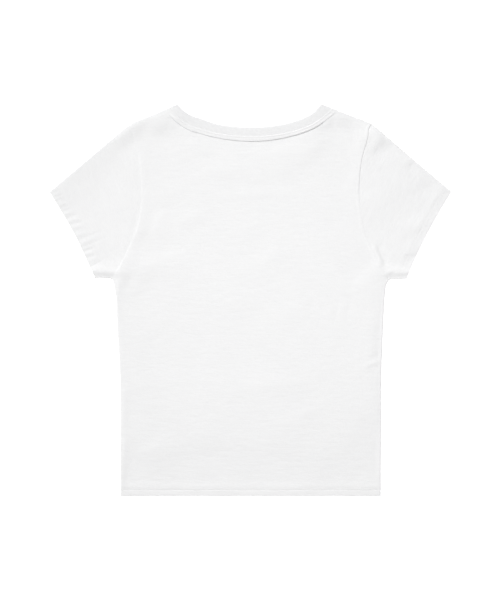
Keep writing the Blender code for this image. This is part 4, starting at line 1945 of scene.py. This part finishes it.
@dataclass
class Stitching:
    """All the needle rows of one hem or seam, as one piece."""

    name: str
    rows: list[NeedleRow]
    sides: int = 8
    rings: int = 5

    def grain(self) -> tuple[Array, list[list[int]]]:
        """One rounded grain of thread, one long and thick: its points and its faces.

        Returns:
            The points, and each face's point numbers.
        """
        edit = bmesh.new()
        turn = Matrix.Rotation(math.pi / 2, 4, "Y")
        bmesh.ops.create_uvsphere(
            edit, u_segments=self.sides, v_segments=self.rings, radius=0.5, matrix=turn,
        )
        points = np.array([vert.co for vert in edit.verts])
        faces = [[vert.index for vert in face.verts] for face in edit.faces]
        edit.free()
        return points, faces

    def build(self, material: bpy.types.Material) -> bpy.types.Object:
        """Makes the stitches, each a grain of thread half sunk in the cloth.

        Args:
            material: The thread's finish.

        Returns:
            The piece.
        """
        grain, faces = self.grain()
        points = []
        for row in self.rows:
            size = np.array([row.stitch, row.thread, row.thread])
            for place in row.places():
                turn = np.array(place.to_3x3())
                points.append((grain * size) @ turn.T * MM + np.array(place.translation))
        joined = [
            [index + number * len(grain) for index in face]
            for number in range(len(points))
            for face in faces
        ]
        mesh = bpy.data.meshes.new(self.name)
        mesh.from_pydata(np.vstack(points), [], joined)
        mesh.shade_smooth()
        return dressed(self.name, mesh, material)


# -------------------------------------------------------------------------------------- studio


@dataclass
class Studio:
    """The pale table, the soft light and the camera straight above."""

    picture: tuple[int, int] = (500, 600)
    view_width: float = 0.750
    lens: float = 85.0
    sensor: float = 36.0
    centre: tuple[float, float] = (-0.0006, -0.0003)
    table_size: float = 6.0
    table_cells: int = 4
    table_drop: float = 0.0002
    dome: float = 0.27
    key_watts: float = 1084.0
    key_size: float = 4.6
    key_place: tuple[float, float, float] = (-6.0, 6.8, 8.0)
    key_aim: tuple[float, float, float] = (0.0, 0.0, 0.0)
    top_watts: float = 3.5
    top_size: float = 0.6
    top_place: tuple[float, float, float] = (0.05, 0.03, 1.0)

    def camera(self) -> None:
        """The camera, straight above the middle of the shirt."""
        data = bpy.data.cameras.new("camera")
        data.lens = self.lens
        data.sensor_width = self.sensor
        view_height = self.view_width * self.picture[1] / self.picture[0]
        distance = self.lens / self.sensor * view_height
        camera = add_object("camera", data)
        camera.location = (*self.centre, distance)
        bpy.context.scene.camera = camera

    def table(self) -> None:
        """The table under the shirt."""
        edit = bmesh.new()
        cells = self.table_cells
        bmesh.ops.create_grid(
            edit, x_segments=cells, y_segments=cells, size=self.table_size / 2,
        )
        mesh = bpy.data.meshes.new("table")
        edit.to_mesh(mesh)
        edit.free()
        mesh.materials.append(TableFinish().build())
        table = add_object("table", mesh)
        table.location.z = -self.table_drop

    def softbox(self, name: str, watts: float, size: float, place: Sequence[float],
                aim: Sequence[float]) -> None:
        """A square soft light at a place, aimed at a point.

        Args:
            name: Its name.
            watts: Its power.
            size: Its width.
            place: Where it is.
            aim: What it points at.
        """
        data = bpy.data.lights.new(name, "AREA")
        data.energy = watts
        data.size = size
        light = add_object(name, data)
        light.location = place
        way = Vector(aim) - Vector(place)
        light.rotation_euler = way.to_track_quat("-Z", "Y").to_euler()
        light.visible_camera = False

    def light(self) -> None:
        """An even white dome, a key from past the neck and a top light over the shirt."""
        world = bpy.data.worlds.new("dome")
        world.use_nodes = True
        background = world.node_tree.nodes["Background"]
        background.inputs["Color"].default_value = (1.0, 1.0, 1.0, 1.0)
        background.inputs["Strength"].default_value = self.dome
        bpy.context.scene.world = world
        below = (self.top_place[0], self.top_place[1], 0.0)
        self.softbox("key", self.key_watts, self.key_size, self.key_place, self.key_aim)
        self.softbox("top", self.top_watts, self.top_size, self.top_place, below)

    def build(self) -> None:
        """Sets the studio up."""
        self.camera()
        self.table()
        self.light()
        bpy.context.scene.view_settings.view_transform = "Standard"


# --------------------------------------------------------------------------------- the t-shirt


@dataclass
class TShirt:
    """The whole shirt: its five sewn pieces and its needle rows."""

    pattern: ShirtPattern = field(default_factory=ShirtPattern)
    hem: Hem = Hem()
    hem_row_points: int = 400
    neck_row_points: int = 200
    neck_row_start: float = 6.0
    neck_row_drop: float = 5.2
    inner_bedded: float = -0.15

    def hem_rows(self, panel: BodyPanel) -> list[NeedleRow]:
        """The twin needle rows of one panel's hem.

        Args:
            panel: The panel.

        Returns:
            The rows.
        """
        rows = []
        reach = SIDE_SEAM[-1].half_width - self.pattern.mid_height
        across = np.linspace(-reach, reach, self.hem_row_points)
        for height in self.hem.rows:
            row = height + self.hem.wandering(across) - self.pattern.length / 2
            line = np.stack([across, row], axis=1)
            rows.append(NeedleRow(self.pattern, line, panel.layer, panel.relief(line)))
        return rows

    def cuff_rows(self, sleeve: Sleeve) -> list[NeedleRow]:
        """The twin needle rows of both layers of a cuff.

        Args:
            sleeve: The sleeve.

        Returns:
            The rows.
        """
        rows = []
        points, from_edge = sleeve.half_grid()
        for height in self.hem.rows:
            line = []
            for column, edge in zip(points.transpose(1, 0, 2), from_edge.T):
                line.append(on_line(height, edge[::-1], column[::-1]))
            line = np.array(line)
            line = line[self.pattern.past_fold(line) < 0.0]
            rise = sleeve.relief(line, np.full(len(line), height))
            placed = line * (sleeve.side, 1.0)
            rows.append(NeedleRow(self.pattern, placed, Layer.TOP, rise))
            rows.append(NeedleRow(
                self.pattern, placed, Layer.BOTTOM, np.zeros(len(line)), self.inner_bedded,
            ))
        return rows

    def neck_rows(self, panel: BodyPanel) -> list[NeedleRow]:
        """The needle row that holds the neck seam's turning down.

        Args:
            panel: The panel.

        Returns:
            The row, as the only one of a list.
        """
        marks = np.linspace(self.neck_row_start, panel.neck.length, self.neck_row_points)
        forward = panel.neck.directions(marks)
        forward[-1] = (-1.0, 0.0)
        down = np.stack([-forward[:, 1], forward[:, 0]], axis=1)
        half = panel.neck.at(marks) + down * self.neck_row_drop
        whole = np.vstack([half, half[-2::-1] * (-1.0, 1.0)])
        return [NeedleRow(self.pattern, whole, panel.layer, panel.relief(whole))]

    def declare(self, sheet: ClothSheet) -> None:
        """Works out a piece's flat area in square metres, and keeps nothing of it.

        Args:
            sheet: What it was built from.
        """
        sheet.cut_area * MM * MM

    def build(self) -> None:
        """Makes every piece, in the order of sewing."""
        lay = self.pattern
        jersey = JerseyFinish().build()
        rib = RibFinish().build()
        thread = ThreadFinish().build()
        front = BodyPanel("front", lay, lay.front_neck, Layer.BOTTOM, pitch=4.0)
        back = BodyPanel("back", lay, lay.back_neck, Layer.TOP)
        left = Sleeve("sleeve_left", lay, -1, LEFT_CUFF_PUCKERS, LEFT_CUFF_HEM)
        right = Sleeve("sleeve_right", lay, 1, RIGHT_CUFF_PUCKERS, RIGHT_CUFF_HEM)
        band = Neckband("neckband", lay)
        sheets = {part.name: part.sheet() for part in (front, back, left, right, band)}
        rows = {
            "front": self.hem_rows(front) + self.neck_rows(front),
            "back": self.hem_rows(back) + self.neck_rows(back),
            "sleeve_left": self.cuff_rows(left),
            "sleeve_right": self.cuff_rows(right),
        }
        lies_on = {name: ("table",) for name in sheets}
        lies_on["back"] = ("front", "neckband")
        for name, sheet in sheets.items():
            finish, slot = (rib, "rib") if name == "neckband" else (jersey, "jersey")
            piece = sheet.build(finish)
            piece.name = "cloth_" + name
            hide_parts(name)
            if name in rows:
                sewn = Stitching("stitches_" + name, rows[name]).build(thread)
            self.declare(sheet)
            log.info("%s: %d faces", piece.name, len(piece.data.polygons))


def main() -> None:
    """Builds the studio and the shirt."""
    logging.basicConfig(level=logging.INFO, format="%(name)s: %(message)s")
    Studio().build()
    TShirt().build()


if __name__ == "__main__":
    main()
